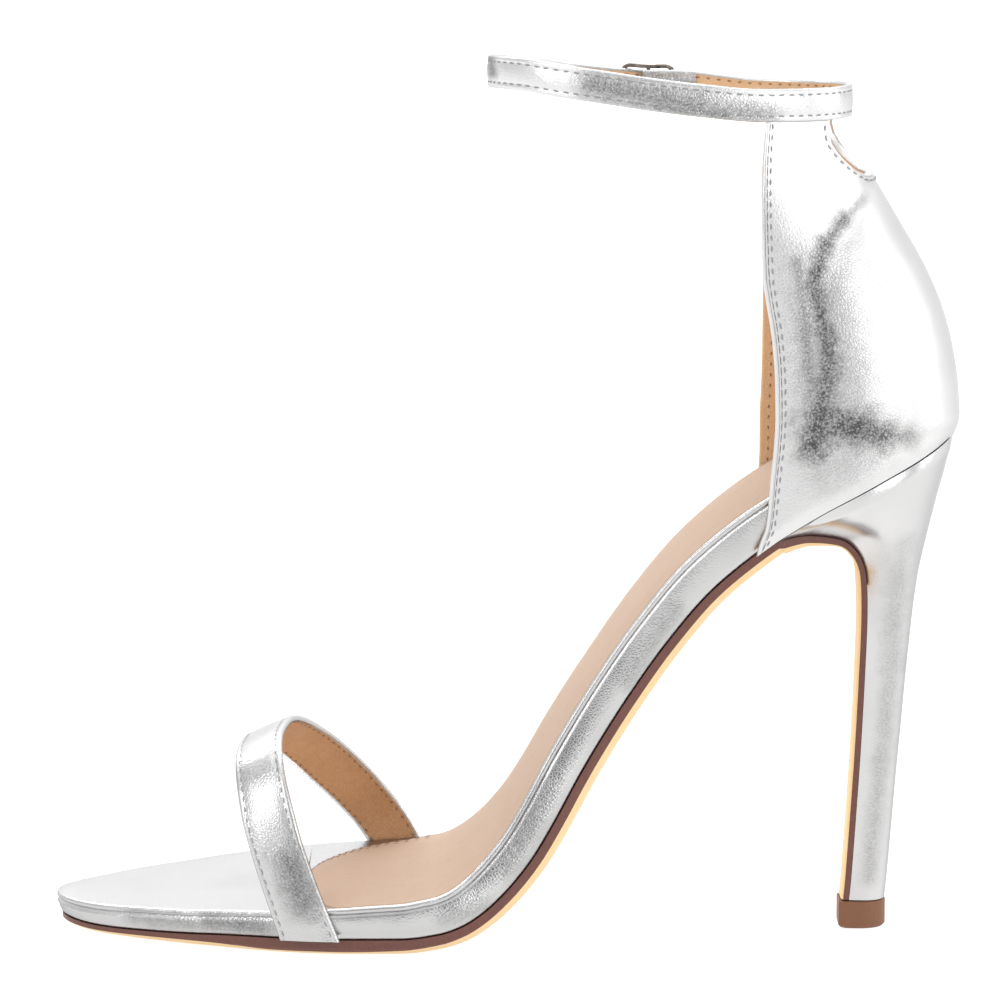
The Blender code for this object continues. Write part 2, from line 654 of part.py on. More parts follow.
def build_outsole(finish):
    """Sole leather under the footbed, which turns down the front of the heel."""
    rings = []

    def edge(x):
        along = x / SOLE_LENGTH
        profile = outsole_side(side("edge", along) * OUTSOLE_EDGE, side("crown", along) * SOLE_CROWN)
        return [(OUTSOLE_INSET + inset, level - CLEARANCE) for inset, level in profile]

    def lower_face(x):
        return 0.1 * side("crown", x / SOLE_LENGTH) * SOLE_CROWN

    def upper_face(x, medial, lateral):
        bulge = side("arch", x / SOLE_LENGTH) * SOLE_CROWN
        points = []
        for share in (0.80, 0.50, 0.20):
            px, py, level = across(medial, lateral, share)
            points.append((px, py, level - bulge * (1 - (2 * share - 1) ** 2)))
        return points

    ball = SOCK_FRONT * SOLE_LENGTH
    places = stations(0.0, ball, 12, True, False)[:-1]
    for x in places + stations(ball, BREAST_START * SOLE_LENGTH, 26, False, False):
        ring = slab_ring(x, edge, lower_face, upper_face)
        rings.append([(px, py, max(pz, 0.0)) for px, py, pz in ring])
    path = smooth_path([Vector(heel_front(row)) for row in range(1, len(HEEL["widest"]))], 2)
    last = len(path) - 1
    for i, point in enumerate(path):
        ahead = path[min(i + 1, last)] - path[max(i - 1, 0)]
        out = Vector((ahead.y, 0.0, -ahead.x)).normalized()
        share = min((i + 1) / FLAP_TURN, 1.0)
        thickness = lerp(OUTSOLE_EDGE, FLAP_THICKNESS, share)
        crown = lerp(side("crown", BREAST_START) * SOLE_CROWN, FLAP_BULGE, share)
        half = point.z
        profile = outsole_side(thickness, crown)
        ring = [(inset - half, level) for inset, level in profile]
        low = half - profile[-1][0]
        for place in (-0.6, 0.0, 0.6):
            ring.append((place * low, profile[-1][1] - 0.1 * crown * (1 - place * place)))
        ring += [(half - inset, level) for inset, level in reversed(profile)]
        ring += [(0.6 * half, 0.0), (0.0, 0.0), (-0.6 * half, 0.0)]
        rings.append([(point.x + out.x * (CLEARANCE - level), y, point.y + out.z * (CLEARANCE - level))
                      for y, level in ring])
    mesh_data = bmesh.new()
    add_loft(mesh_data, rings, False, True)
    return make_object("outsole", mesh_data, finish)


# Toe strap

def toe_strap_point(name, row):
    """Outer edge point of the toe strap at a row of its table."""
    x = TOE_STRAP[name + "_along"][row] * SOLE_LENGTH
    share = TOE_STRAP["side"][row]
    hand = MEDIAL if share < 0 else LATERAL
    outside = STRAP_WALL + CLEARANCE
    reach = half_width(x, hand) + outside
    centre = 0.5 * (half_width(x, LATERAL) - half_width(x, MEDIAL))
    spread = 0.5 * (half_width(x, LATERAL) + half_width(x, MEDIAL)) + outside
    y = hand * reach if abs(share) == 1 else centre + share * spread
    z = feather_height(x) + TOE_STRAP_FOOT + TOE_STRAP[name + "_up"][row] * TOE_STRAP_RISE
    return Vector((x, y, z))


def build_toe_strap(finish):
    rows = range(len(TOE_STRAP["side"]))
    front = smooth_path([toe_strap_point("front", row) for row in rows], 2)
    rear = smooth_path([toe_strap_point("rear", row) for row in rows], 2)
    count = len(front)
    wall, edge = STRAP_WALL, TOE_STRAP_EDGE
    rings = []
    for i in range(count):
        over = rear[i] - front[i]
        width = over.length
        over = over / width
        ahead = 0.5 * (front[min(i + 1, count - 1)] - front[max(i - 1, 0)]
                       + rear[min(i + 1, count - 1)] - rear[max(i - 1, 0)])
        inward = ahead.cross(over).normalized()
        profile = ((edge, 0.0), (0.5 * width, -0.0002), (width - edge, 0.0), (width, 0.35 * wall),
                   (width, 0.75 * wall), (width - edge, wall), (0.5 * width, wall - 0.0001),
                   (edge, wall), (0.0, 0.75 * wall), (0.0, 0.35 * wall))
        rings.append([front[i] + over * run + inward * depth for run, depth in profile])
    mesh_data = bmesh.new()
    add_loft(mesh_data, rings)
    return make_object("toe_strap", mesh_data, finish)


# Heel upper: counter, quarters and ankle strap

def ankle_centre():
    return ANKLE_BACK * SOLE_LENGTH - 0.5 * ANKLE_LENGTH


def level_outline(z, hand, outset):
    """Half outline of the counter at a height, from the back to the quarter's front."""
    up = (z - WIDEST_HEIGHT) / (ANKLE_HEIGHT - WIDEST_HEIGHT)
    lean = monotone(COUNTER["up"], COUNTER["lean"], up)
    seat_x = SEAT_CENTRE * SOLE_LENGTH
    seat_out = CLEARANCE + COUNTER_WALL
    inset = STRAP_THICKNESS - STRAP_SINK
    centre = lerp(seat_x, ankle_centre(), lean)
    back = lerp(SOLE_LENGTH + seat_out, ANKLE_BACK * SOLE_LENGTH - inset, lean)
    half = lerp(0.5 * SEAT_WIDTH + seat_out, 0.5 * ANKLE_WIDTH - inset, lean)
    power = lerp(2.0, ANKLE_SQUARENESS, lean)
    edge = QUARTER_FRONT["medial" if hand == MEDIAL else "lateral"]
    front = monotone(QUARTER_FRONT["up"], edge, up) * SOLE_LENGTH
    reach, half = back - centre + outset, half + outset
    points = []
    turns = 48
    for i in range(turns + 1):
        angle = 0.5 * math.pi * i / turns
        x = centre + reach * math.cos(angle) ** (2 / power)
        y = half * math.sin(angle) ** (2 / power)
        if x < front:
            last_x, last_y = points[-1]
            share = (last_x - front) / (last_x - x)
            points.append((front, lerp(last_y, y, share)))
            return points
        points.append((x, y))
    for i in range(1, 5):
        x = lerp(centre, front, i / 4)
        narrowing = QUARTER_TAPER * (0.5 * SEAT_WIDTH - half_width(x, hand))
        points.append((x, half - narrowing * max(1 - max(lean, 0.0) * 4, 0.0)))
    return points


def at_share(points, share):
    """Point at a share of a polyline's length."""
    lengths = [0.0]
    for first, second in zip(points, points[1:]):
        lengths.append(lengths[-1] + math.hypot(second[0] - first[0], second[1] - first[1]))
    goal = share * lengths[-1]
    for i in range(1, len(points)):
        if lengths[i] >= goal or i == len(points) - 1:
            step = lengths[i] - lengths[i - 1]
            part = (goal - lengths[i - 1]) / step if step else 0.0
            return (lerp(points[i - 1][0], points[i][0], part), lerp(points[i - 1][1], points[i][1], part))


def counter_point(share, height_share, top, depth):
    """Point of the counter: share from -1 medial front over the back to 1 lateral front."""
    hand = MEDIAL if share < 0 else LATERAL
    x = at_share(level_outline(WIDEST_HEIGHT, hand, -depth), abs(share))[0]
    for _ in range(3):
        low = feather_height(min(x, SOLE_LENGTH))
        x = at_share(level_outline(low, hand, -depth), abs(share))[0]
    z = lerp(low, top, height_share)
    tuck = COUNTER_TUCK * max(1 - (z - low) / TUCK_HEIGHT, 0.0) ** 2
    x, y = at_share(level_outline(z, hand, -depth - tuck), abs(share))
    return (x, hand * y, z)


def build_quarters(finish):
    """Closed counter with its two quarters, one wall bent round the heel."""
    columns = 23
    shares = [i / columns for i in range(-columns, columns + 1)]
    heights = (0.0, 0.03, 0.07, 0.13, 0.22, 0.32, 0.42, 0.52, 0.62, 0.72, 0.83, 1.0)
    top = ANKLE_HEIGHT + 0.5 * STRAP_HEIGHT
    mesh_data = bmesh.new()
    rings = []
    for share in shares:
        outer = [counter_point(share, h, top, 0.0) for h in heights]
        inner = [counter_point(share, h, top, COUNTER_WALL) for h in reversed(heights)]
        rings.append(outer + inner)
    add_paired_loft(mesh_data, rings)
    return make_object("heel_upper", mesh_data, finish)


def build_cutout():
    """Guide that opens the back between the counter and the ankle strap."""
    outline = []
    top = ANKLE_HEIGHT + STRAP_HEIGHT
    for i in range(9):
        angle = math.pi + 0.5 * math.pi * i / 8
        outline.append((-CUTOUT_MEDIAL + CUTOUT_RADIUS * (1 + math.cos(angle)),
                        CUTOUT_FLOOR + CUTOUT_RADIUS * (1 + math.sin(angle))))
    for i in range(9):
        angle = 1.5 * math.pi + 0.5 * math.pi * i / 8
        outline.append((CUTOUT_LATERAL - CUTOUT_RADIUS * (1 - math.cos(angle)),
                        CUTOUT_FLOOR + CUTOUT_RADIUS * (1 + math.sin(angle))))
    outline += [(CUTOUT_LATERAL - CUTOUT_LEAN, top), (CUTOUT_LEAN - CUTOUT_MEDIAL, top)]
    start = ankle_centre() + 0.25 * ANKLE_LENGTH
    mesh_data = bmesh.new()
    add_loft(mesh_data, [[(x, y, z) for y, z in outline] for x in (start, SOLE_LENGTH + 0.01)])
    return make_object("guide_cutout", mesh_data, None)


def loop_point(angle, offset):
    """Point of the ankle loop's middle line in plan, moved outwards by the offset."""
    half_x = 0.5 * (ANKLE_LENGTH - STRAP_THICKNESS) + offset
    half_y = 0.5 * (ANKLE_WIDTH - STRAP_THICKNESS) + offset
    power = 2 / ANKLE_SQUARENESS
    c, s = math.cos(angle), math.sin(angle)
    return Vector((ankle_centre() + half_x * math.copysign(abs(c) ** power, c),
                   half_y * math.copysign(abs(s) ** power, s), 0.0))


def strap_middle_height(x, y):
    """Height of the strap's middle, which climbs to the front of the ankle."""
    forward = (ANKLE_BACK * SOLE_LENGTH - x) / ANKLE_LENGTH
    climb = monotone(ANKLE_STRAP["forward"], ANKLE_STRAP["climb"], forward) * STRAP_FRONT_LIFT
    cant = monotone(ANKLE_STRAP["forward"], ANKLE_STRAP["cant"], forward) * STRAP_CANT
    return ANKLE_HEIGHT + 0.5 * STRAP_HEIGHT + climb - cant * y


def bar_place():
    """The buckle's bar in plan, a little outside the short end of the strap."""
    side_y = 0.5 * (ANKLE_WIDTH - STRAP_THICKNESS)
    return Vector((ANKLE_BACK * SOLE_LENGTH - BUCKLE_PLACE * ANKLE_LENGTH, side_y + BAR_STEP, 0.0))


def wrap_radius():
    return 0.5 * BUCKLE_ROD + 0.5 * CLEARANCE + 0.5 * FOLD_THICKNESS


def over_bar():
    """How far the long end's middle line stands outside the bar."""
    return wrap_radius() + 0.5 * FOLD_THICKNESS + CLEARANCE + 0.5 * STRAP_THICKNESS


def long_end_offset(x):
    """How far the long end stands outside the loop's middle line at x."""
    bar = bar_place()
    side_y = 0.5 * (ANKLE_WIDTH - STRAP_THICKNESS)
    peak = bar.y - side_y + over_bar()
    beside = STRAP_THICKNESS + CLEARANCE
    run = (x - bar.x) / BUCKLE_LENGTH
    if run < 0:
        return peak * monotone([-1.35, -0.95, -0.50, -0.18, 0.0], [0.0, 0.08, 0.60, 0.94, 1.0], run)
    return lerp(beside, peak, monotone([0.0, 0.18, 0.50, 0.90], [1.0, 0.90, 0.25, 0.0], run))


def strap_path():
    """Middle line of the ankle strap in plan, and its thickness, from fold to free tip."""
    bar = bar_place()
    radius = wrap_radius()
    path = []
    layer = 0.5 * (FOLD_THICKNESS + CLEARANCE)
    inner_end = bar.x + FOLD_LENGTH
    for i in range(4):
        share = i / 4
        x = lerp(inner_end, bar.x + FOLD_OPENING, share)
        path.append((Vector((x, bar.y - lerp(layer, radius, share ** 3) - BAR_STEP * (1 - share), 0.0)),
                     FOLD_THICKNESS))
    for i in range(9):
        angle = math.radians(-90 - 180 * i / 8)
        path.append((bar + Vector((radius * math.cos(angle), radius * math.sin(angle), 0.0)),
                     FOLD_THICKNESS))
    reach = (inner_end - ankle_centre()) / (0.5 * ANKLE_LENGTH)
    start = 0.5 * math.pi - math.asin(min(reach, 1.0))
    side_y = loop_point(start, 0.0).y
    for i in range(1, 5):
        share = i / 5
        x = lerp(bar.x + 0.5 * FOLD_THICKNESS - 0.5 * CLEARANCE, inner_end, share)
        path.append((Vector((x, lerp(bar.y + radius, side_y, share * share * (3 - 2 * share)), 0.0)),
                     lerp(FOLD_THICKNESS, STRAP_THICKNESS, share)))
    turns = 58
    tail_x = bar.x + TAIL_LENGTH
    for i in range(turns + 1):
        angle = start - 2.02 * math.pi * i / turns
        point = loop_point(angle, 0.0)
        if i > 0.7 * turns and point.y > 0:
            offset = long_end_offset(point.x)
            point = loop_point(angle, offset)
            if point.x > bar.x - TAIL_START:
                break
        path.append((point, STRAP_THICKNESS))
    x = path[-1][0].x + 0.8 * TAIL_STEP
    while x < tail_x:
        c = min(max((x - ankle_centre()) / (0.5 * ANKLE_LENGTH), -1.0), 1.0)
        angle = math.acos(math.copysign(abs(c) ** (0.5 * ANKLE_SQUARENESS), c))
        path.append((loop_point(angle, long_end_offset(x)), STRAP_THICKNESS))
        x += TAIL_STEP
    return path


def first_hole():
    """X of the strap hole that the prong goes through."""
    return bar_place().x - 0.26 * BUCKLE_LENGTH


TIP_SHARES = (0.34, 0.66, 0.86, 0.97)


def build_strap():
    """Ankle strap as one strip: folded short end, round the ankle, and the long end's tip."""
    path = strap_path()
    count = len(path)
    rings = []
    for i, (point, thickness) in enumerate(path):
        ahead = path[min(i + 1, count - 1)][0] - path[max(i - 1, 0)][0]
        out = Vector((-ahead.y, ahead.x, 0.0)).normalized()
        middle = strap_middle_height(point.x, point.y)
        half = 0.5 * STRAP_HEIGHT
        from_tip = count - 1 - i
        if from_tip < len(TIP_SHARES):
            half *= TIP_SHARES[from_tip]
        skin = 0.5 * thickness
        flat = half - STRAP_EDGE
        profile = ((-half, -0.5 * skin), (-flat, -skin), (flat, -skin), (half, -0.5 * skin),
                   (half, 0.4 * skin), (flat, skin), (-flat, skin), (-half, 0.4 * skin))
        rings.append([(point.x + out.x * depth, point.y + out.y * depth, middle + level)
                      for level, depth in profile])
    mesh_data = bmesh.new()
    add_loft(mesh_data, rings)
    return make_object("guide_ankle_strap", mesh_data, None)


def build_block(name, low, high):
    """Guide block between two corners."""
    mesh_data = bmesh.new()
    bmesh.ops.create_cube(mesh_data, size=1.0)
    for vert in mesh_data.verts:
        vert.co = Vector([lerp(low[k], high[k], vert.co[k] + 0.5) for k in range(3)])
    return make_object(name, mesh_data, None)


def build_heel_upper(finish):
    upper = build_quarters(finish)
    join_with(upper, build_cutout(), "DIFFERENCE")
    strap = build_strap()
    bar = bar_place()
    middle = strap_middle_height(bar.x, bar.y)
    fold_face = bar.y + wrap_radius() + 0.5 * FOLD_THICKNESS
    inside = bar.y - wrap_radius() - FOLD_THICKNESS
    slot = build_block("guide_prong_slot",
                       (bar.x - SLOT_AHEAD, inside, middle - 0.5 * SLOT_WIDTH),
                       (bar.x + SLOT_BEHIND, fold_face + 0.5 * CLEARANCE, middle + 0.5 * SLOT_WIDTH))
    join_with(strap, slot, "DIFFERENCE")
    for i in range(HOLE_COUNT):
        buckled = i == 0
        x = first_hole() + HOLE_PITCH * i + (0.0 if buckled else HOLE_SKIP)
        side_y = 0.5 * (ANKLE_WIDTH - STRAP_THICKNESS) + long_end_offset(x)
        mesh_data = bmesh.new()
        bmesh.ops.create_cone(mesh_data, cap_ends=True, segments=12, radius1=0.5 * STRAP_HOLE,
                              radius2=0.5 * STRAP_HOLE,
                              depth=3.2 * STRAP_THICKNESS if buckled else HOLE_DEPTH)
        hole = make_object("guide_hole_%d" % i, mesh_data, None)
        hole.rotation_euler = (0.5 * math.pi, 0.0, 0.0)
        bend = 0.5 * ANKLE_WIDTH - loop_y_at(x)
        outwards = 0.0 if buckled else HOLE_OUT
        hole.location = (x, side_y - bend + outwards, strap_middle_height(x, side_y))
        join_with(strap, hole, "DIFFERENCE")
    join_with(upper, strap, "UNION")
    return upper


def loop_y_at(x):
    """Half width of the ankle loop's outside at x."""
    c = min(max((x - ankle_centre()) / (0.5 * ANKLE_LENGTH), -1.0), 1.0)
    return 0.5 * ANKLE_WIDTH * (1 - abs(c) ** ANKLE_SQUARENESS) ** (1 / ANKLE_SQUARENESS)


# Buckle

def add_rod(mesh_data, path, radius, sides, closed):
    """Round rod along a path, either closed on itself or with domed ends."""
    count = len(path)
    rings = []
    for i, point in enumerate(path):
        if closed:
            ahead = path[(i + 1) % count] - path[i - 1]
        else:
            ahead = path[min(i + 1, count - 1)] - path[max(i - 1, 0)]
        ahead.normalize()
        guide = Vector((0.0, 1.0, 0.0)) if abs(ahead.y) < 0.8 else Vector((1.0, 0.0, 0.0))
        first = ahead.cross(guide).normalized()
        second = ahead.cross(first)
        rings.append([point + radius * (first * math.cos(2 * math.pi * k / sides)
                                        + second * math.sin(2 * math.pi * k / sides))
                      for k in range(sides)])
    if closed:
        rings.append(rings[0])
    add_loft(mesh_data, rings, not closed, not closed)


def frame_bow(x):
    """How far the buckle's frame stands outside its bar at x, to pass over the strap."""
    bar = bar_place()
    side_y = 0.5 * (ANKLE_WIDTH - STRAP_THICKNESS)
    outer = long_end_offset(x) + side_y + 0.5 * STRAP_THICKNESS + 0.5 * BUCKLE_ROD + CLEARANCE - bar.y
    reach = 0.5 * (BUCKLE_LENGTH - BUCKLE_ROD)
    share = min(abs(x - bar.x) / reach, 1.0)
    ends = long_end_offset(bar.x + math.copysign(reach, x - bar.x)) + side_y - bar.y
    ends += 0.5 * STRAP_THICKNESS + 0.5 * BUCKLE_ROD + CLEARANCE
    return min(outer, ends) * share ** 1.5 if share < 1 else ends


def build_buckle_frame(finish):
    bar = bar_place()
    middle = strap_middle_height(bar.x, bar.y)
    half_x = 0.5 * (BUCKLE_LENGTH - BUCKLE_ROD)
    behind = strap_middle_height(bar.x + half_x, bar.y)
    tilt = (behind - strap_middle_height(bar.x - half_x, bar.y)) / (2 * half_x)
    half_z = 0.5 * (BUCKLE_HEIGHT - BUCKLE_ROD)
    corner = BUCKLE_CORNER
    path = []
    for turn, (sign_x, sign_z) in enumerate(((1, 1), (-1, 1), (-1, -1), (1, -1))):
        for i in range(5):
            angle = 0.5 * math.pi * (turn + i / 4)
            x = sign_x * (half_x - corner) + corner * math.cos(angle)
            z = sign_z * (half_z - corner) + corner * math.sin(angle)
            path.append((x, z))
        following = ((-1, 1), (-1, -1), (1, -1), (1, 1))[turn]
        if turn % 2 == 0:
            for share in (0.15, 0.30, 0.50, 0.70, 0.85):
                path.append((lerp(sign_x, following[0], share) * (half_x - corner), sign_z * half_z))
    points = [Vector((bar.x + x, bar.y + frame_bow(bar.x + x), middle + z + tilt * x)) for x, z in path]
    mesh_data = bmesh.new()
    add_rod(mesh_data, points, 0.5 * BUCKLE_ROD, 8, True)
    frame = make_object("buckle_frame", mesh_data, finish)
    rod = bmesh.new()
    ends = [Vector((bar.x, bar.y, middle + share * half_z)) for share in (-1.0, 0.0, 1.0)]
    add_rod(rod, ends, 0.5 * BUCKLE_ROD * 0.96, 10, False)
    join_with(frame, make_object("guide_buckle_bar", rod, None), "UNION")
    return frame


def build_prong(finish):
    """Prong hooked round the bar, through the strap's hole, resting on the frame's front."""
    bar = bar_place()
    middle = strap_middle_height(bar.x, bar.y)
    turn = 0.5 * BUCKLE_ROD + PRONG_GAP + 0.5 * PRONG_ROD
    front_x = bar.x - 0.5 * (BUCKLE_LENGTH - BUCKLE_ROD)
    rest = frame_bow(front_x) + 0.5 * BUCKLE_ROD + PRONG_GAP + 0.5 * PRONG_ROD
    path = []
    for i in range(13):
        angle = math.radians(62 - 290 * i / 12)
        path.append(bar + Vector((turn * math.cos(angle), turn * math.sin(angle), middle)))
    last = path[-1]
    hole_x = first_hole()
    under = 0.5 * (ANKLE_WIDTH - STRAP_THICKNESS) + long_end_offset(hole_x) - 0.5 * STRAP_THICKNESS
    path.append(Vector((last.x - 0.0010, last.y + 0.0002, middle)))
    path.append(Vector((hole_x + 0.0006, under - 0.0001, middle)))
    path.append(Vector((hole_x - 0.0002, under + 0.7 * STRAP_THICKNESS, middle)))
    path.append(Vector((hole_x - 0.0008, under + STRAP_THICKNESS + 0.0006, middle)))
    path.append(Vector((lerp(bar.x, front_x, 0.88), bar.y + rest, middle)))
    path.append(Vector((front_x, bar.y + rest, middle)))
    path.append(Vector((front_x - 0.0009, bar.y + 0.97 * rest, middle)))
    mesh_data = bmesh.new()
    add_rod(mesh_data, path, 0.5 * PRONG_ROD, 8, False)
    return make_object("buckle_prong", mesh_data, finish)


def main():
    for piece in list(bpy.data.objects):
        bpy.data.objects.remove(piece)
    silver = (0.86, 0.86, 0.87)
    finishes = {
        "silver_wrap": material("silver_wrap", silver, 0.22, 0.9),
        "silver_strap": material("silver_strap", silver, 0.24, 0.9),
        "silver_upper": material("silver_upper", silver, 0.24, 0.9),
        "silver_heel": material("silver_heel", silver, 0.20, 0.9),
        "tan_liner": material("tan_liner", (0.72, 0.53, 0.41), 0.7, 0.0),
        "sole_leather": material("sole_leather", (0.20, 0.08, 0.06), 0.5, 0.0),
        "lift_rubber": material("lift_rubber", (0.40, 0.19, 0.08), 0.6, 0.0),
        "buckle_metal": material("buckle_metal", (0.35, 0.32, 0.29), 0.25, 1.0),
        "prong_metal": material("prong_metal", (0.45, 0.42, 0.39), 0.25, 1.0),
    }
    pieces = [
        build_outsole(finishes["sole_leather"]),
        build_footbed(finishes["silver_wrap"]),
        build_sock_liner(finishes["tan_liner"]),
        build_toe_strap(finishes["silver_strap"]),
        build_heel_upper(finishes["silver_upper"]),
        build_buckle_frame(finishes["buckle_metal"]),
        build_prong(finishes["prong_metal"]),
        build_heel(finishes["silver_heel"]),
        build_top_lift(finishes["lift_rubber"]),
    ]
    bpy.context.view_layer.update()
    graph = bpy.context.evaluated_depsgraph_get()
    corners = []
    for piece in pieces:
        mesh = piece.evaluated_get(graph).data
        corners += [vert.co.copy() for vert in mesh.vertices]
    lows = [min(corner[k] for corner in corners) for k in range(3)]
    highs = [max(corner[k] for corner in corners) for k in range(3)]
    root = bpy.data.objects.new("sandal", None)
    bpy.context.scene.collection.objects.link(root)
    for piece in list(bpy.data.objects):
        if piece is not root:
            piece.parent = root
    root.location = (-0.5 * (lows[0] + highs[0]), -0.5 * (lows[1] + highs[1]), -lows[2])


main()
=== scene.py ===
# %% [markdown]
# # A strappy heeled sandal
# This lesson dresses a CAD sandal for the right foot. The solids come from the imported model,
# and each cell builds one piece of leather, lining or thread over them, in metres, +Z up.
# The toe points along -X and the camera looks at the medial side, along +Y.

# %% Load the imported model
import math

import bmesh
import bpy
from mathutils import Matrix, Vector, noise


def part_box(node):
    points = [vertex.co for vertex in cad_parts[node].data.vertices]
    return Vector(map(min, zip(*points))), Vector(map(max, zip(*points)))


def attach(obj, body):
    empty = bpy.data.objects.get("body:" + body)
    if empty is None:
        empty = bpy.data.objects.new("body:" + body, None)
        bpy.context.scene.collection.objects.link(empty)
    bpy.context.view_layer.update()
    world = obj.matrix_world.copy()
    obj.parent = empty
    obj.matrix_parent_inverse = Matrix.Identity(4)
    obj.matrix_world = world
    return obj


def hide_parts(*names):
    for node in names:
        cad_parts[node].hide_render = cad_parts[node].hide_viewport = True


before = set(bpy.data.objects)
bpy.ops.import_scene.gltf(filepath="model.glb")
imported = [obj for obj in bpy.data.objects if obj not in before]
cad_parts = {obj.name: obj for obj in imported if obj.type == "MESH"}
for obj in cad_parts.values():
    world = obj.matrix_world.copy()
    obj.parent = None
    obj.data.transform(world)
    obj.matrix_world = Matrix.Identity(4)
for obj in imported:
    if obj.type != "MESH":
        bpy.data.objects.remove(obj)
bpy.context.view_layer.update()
print("CAD nodes:", sorted(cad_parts))

# %% [markdown]
# ## Camera, floor and light
# A product photograph of a shoe is taken from low and far away, with a long lens, so that the
# heel and the toe keep their proportions. The floor bends up behind the shoe into a backdrop.
# Mirror-like leather shows what stands round it. So the light is a bright, even studio with
# large soft panels, and a dark area round the camera, which gives the silver its grey bands.
# The camera itself sees the walls as white. The picture is developed with plain sRGB tones,
# so that white paper comes out white.

# %% Camera
TARGET = Vector((-0.00111, -0.00106, 0.09763))
DISTANCE = 1.212
ELEVATION = math.radians(8.5)
LENS = 193.3
SENSOR = 36.0
CAMERA_REACH = 50.0

camera_data = bpy.data.cameras.new("camera")
camera_data.lens = LENS
camera_data.sensor_width = SENSOR
camera_data.clip_end = CAMERA_REACH
camera = bpy.data.objects.new("camera", camera_data)
bpy.context.scene.collection.objects.link(camera)
back = Vector((0.0, -math.cos(ELEVATION), math.sin(ELEVATION)))
camera.location = TARGET + back * DISTANCE
camera.rotation_mode = "QUATERNION"
camera.rotation_quaternion = (-back).to_track_quat("-Z", "Y")
bpy.context.scene.camera = camera
bpy.context.scene.view_settings.view_transform = "Standard"
print("camera", DISTANCE, "m away, lens", LENS, "mm")


# %% Floor and backdrop
FLOOR_REACH = 3.0       # how far the floor goes to the sides and to the front
BEND_START = 1.2        # where it starts to bend up, behind the sandal
BEND_RADIUS = 0.8
BEND_STEPS = 12
WALL_TOP = 3.0
FLOOR_GAP = 0.0002      # floor below the top lift, so that the two faces don't flicker
PAPER_GREY = 0.25
PAPER_ROUGHNESS = 0.9
PAPER_GLOW = 0.86       # the paper's own light, which lifts the shadow out of it


def build_backdrop():
    """Floor that curves up into a wall far behind the sandal."""
    profile = [(-FLOOR_REACH, 0.0), (BEND_START, 0.0)]
    for i in range(1, BEND_STEPS + 1):
        angle = 0.5 * math.pi * i / BEND_STEPS
        profile.append((BEND_START + BEND_RADIUS * math.sin(angle), BEND_RADIUS * (1 - math.cos(angle))))
    profile.append((BEND_START + BEND_RADIUS, WALL_TOP))
    cells = bmesh.new()
    rows = [[cells.verts.new((x, y, z - FLOOR_GAP)) for y, z in profile] for x in (-FLOOR_REACH, FLOOR_REACH)]
    for i in range(len(profile) - 1):
        cells.faces.new((rows[0][i], rows[1][i], rows[1][i + 1], rows[0][i + 1]))
    mesh = bpy.data.meshes.new("backdrop")
    cells.to_mesh(mesh)
    cells.free()
    mesh.shade_smooth()
    backdrop = bpy.data.objects.new("backdrop", mesh)
    bpy.context.scene.collection.objects.link(backdrop)
    paper = bpy.data.materials.new("white_paper")
    paper.use_nodes = True
    shader = paper.node_tree.nodes["Principled BSDF"]
    shader.inputs["Base Color"].default_value = (PAPER_GREY, PAPER_GREY, PAPER_GREY, 1.0)
    shader.inputs["Roughness"].default_value = PAPER_ROUGHNESS
    shader.inputs["Emission Color"].default_value = (1.0, 1.0, 1.0, 1.0)
    shader.inputs["Emission Strength"].default_value = PAPER_GLOW
    mesh.materials.append(paper)
    return backdrop


backdrop = build_backdrop()
print("backdrop", 2 * FLOOR_REACH, "m wide and", WALL_TOP, "m high")


# %% Light panels
def add_panel(name, place, aim, size, power):
    """Soft rectangular light that faces a point."""
    data = bpy.data.lights.new(name, "AREA")
    data.shape = "RECTANGLE"
    data.size, data.size_y = size
    data.energy = power
    lamp = bpy.data.objects.new(name, data)
    bpy.context.scene.collection.objects.link(lamp)
    lamp.location = place
    lamp.rotation_mode = "QUATERNION"
    lamp.rotation_quaternion = (Vector(aim) - Vector(place)).to_track_quat("-Z", "Y")
    return lamp


middle = (0.0, 0.0, 0.09)
add_panel("panel_top", (0.0, -0.2, 1.5), middle, (1.6, 1.0), 4.5)
add_panel("panel_left", (-1.2, -1.1, 0.8), middle, (0.5, 1.2), 5.0)
add_panel("panel_right", (1.4, 0.1, 0.5), middle, (0.6, 0.9), 3.5)
add_panel("panel_near", (0.95, -1.0, 0.50), middle, (0.8, 0.8), 4.5)
add_panel("panel_back", (0.0, 0.9, 1.2), (0.0, 1.7, 0.2), (2.4, 0.8), 66.0)
print(len(bpy.data.lights), "panels")


# %% Studio walls
WALL_COLOUR = (0.975, 0.985, 1.0)
WALL_BRIGHT, WALL_DARK = 0.90, 0.20
WALL_SEEN = 1.1                     # brightness of the walls as the camera sees them
DARK_CENTRE = (0.08, -0.98, 0.14)   # direction of the dark area, towards the camera
DARK_REACH = (0.20, 1.0, 0.40)
DARK_SOFTNESS = 0.50


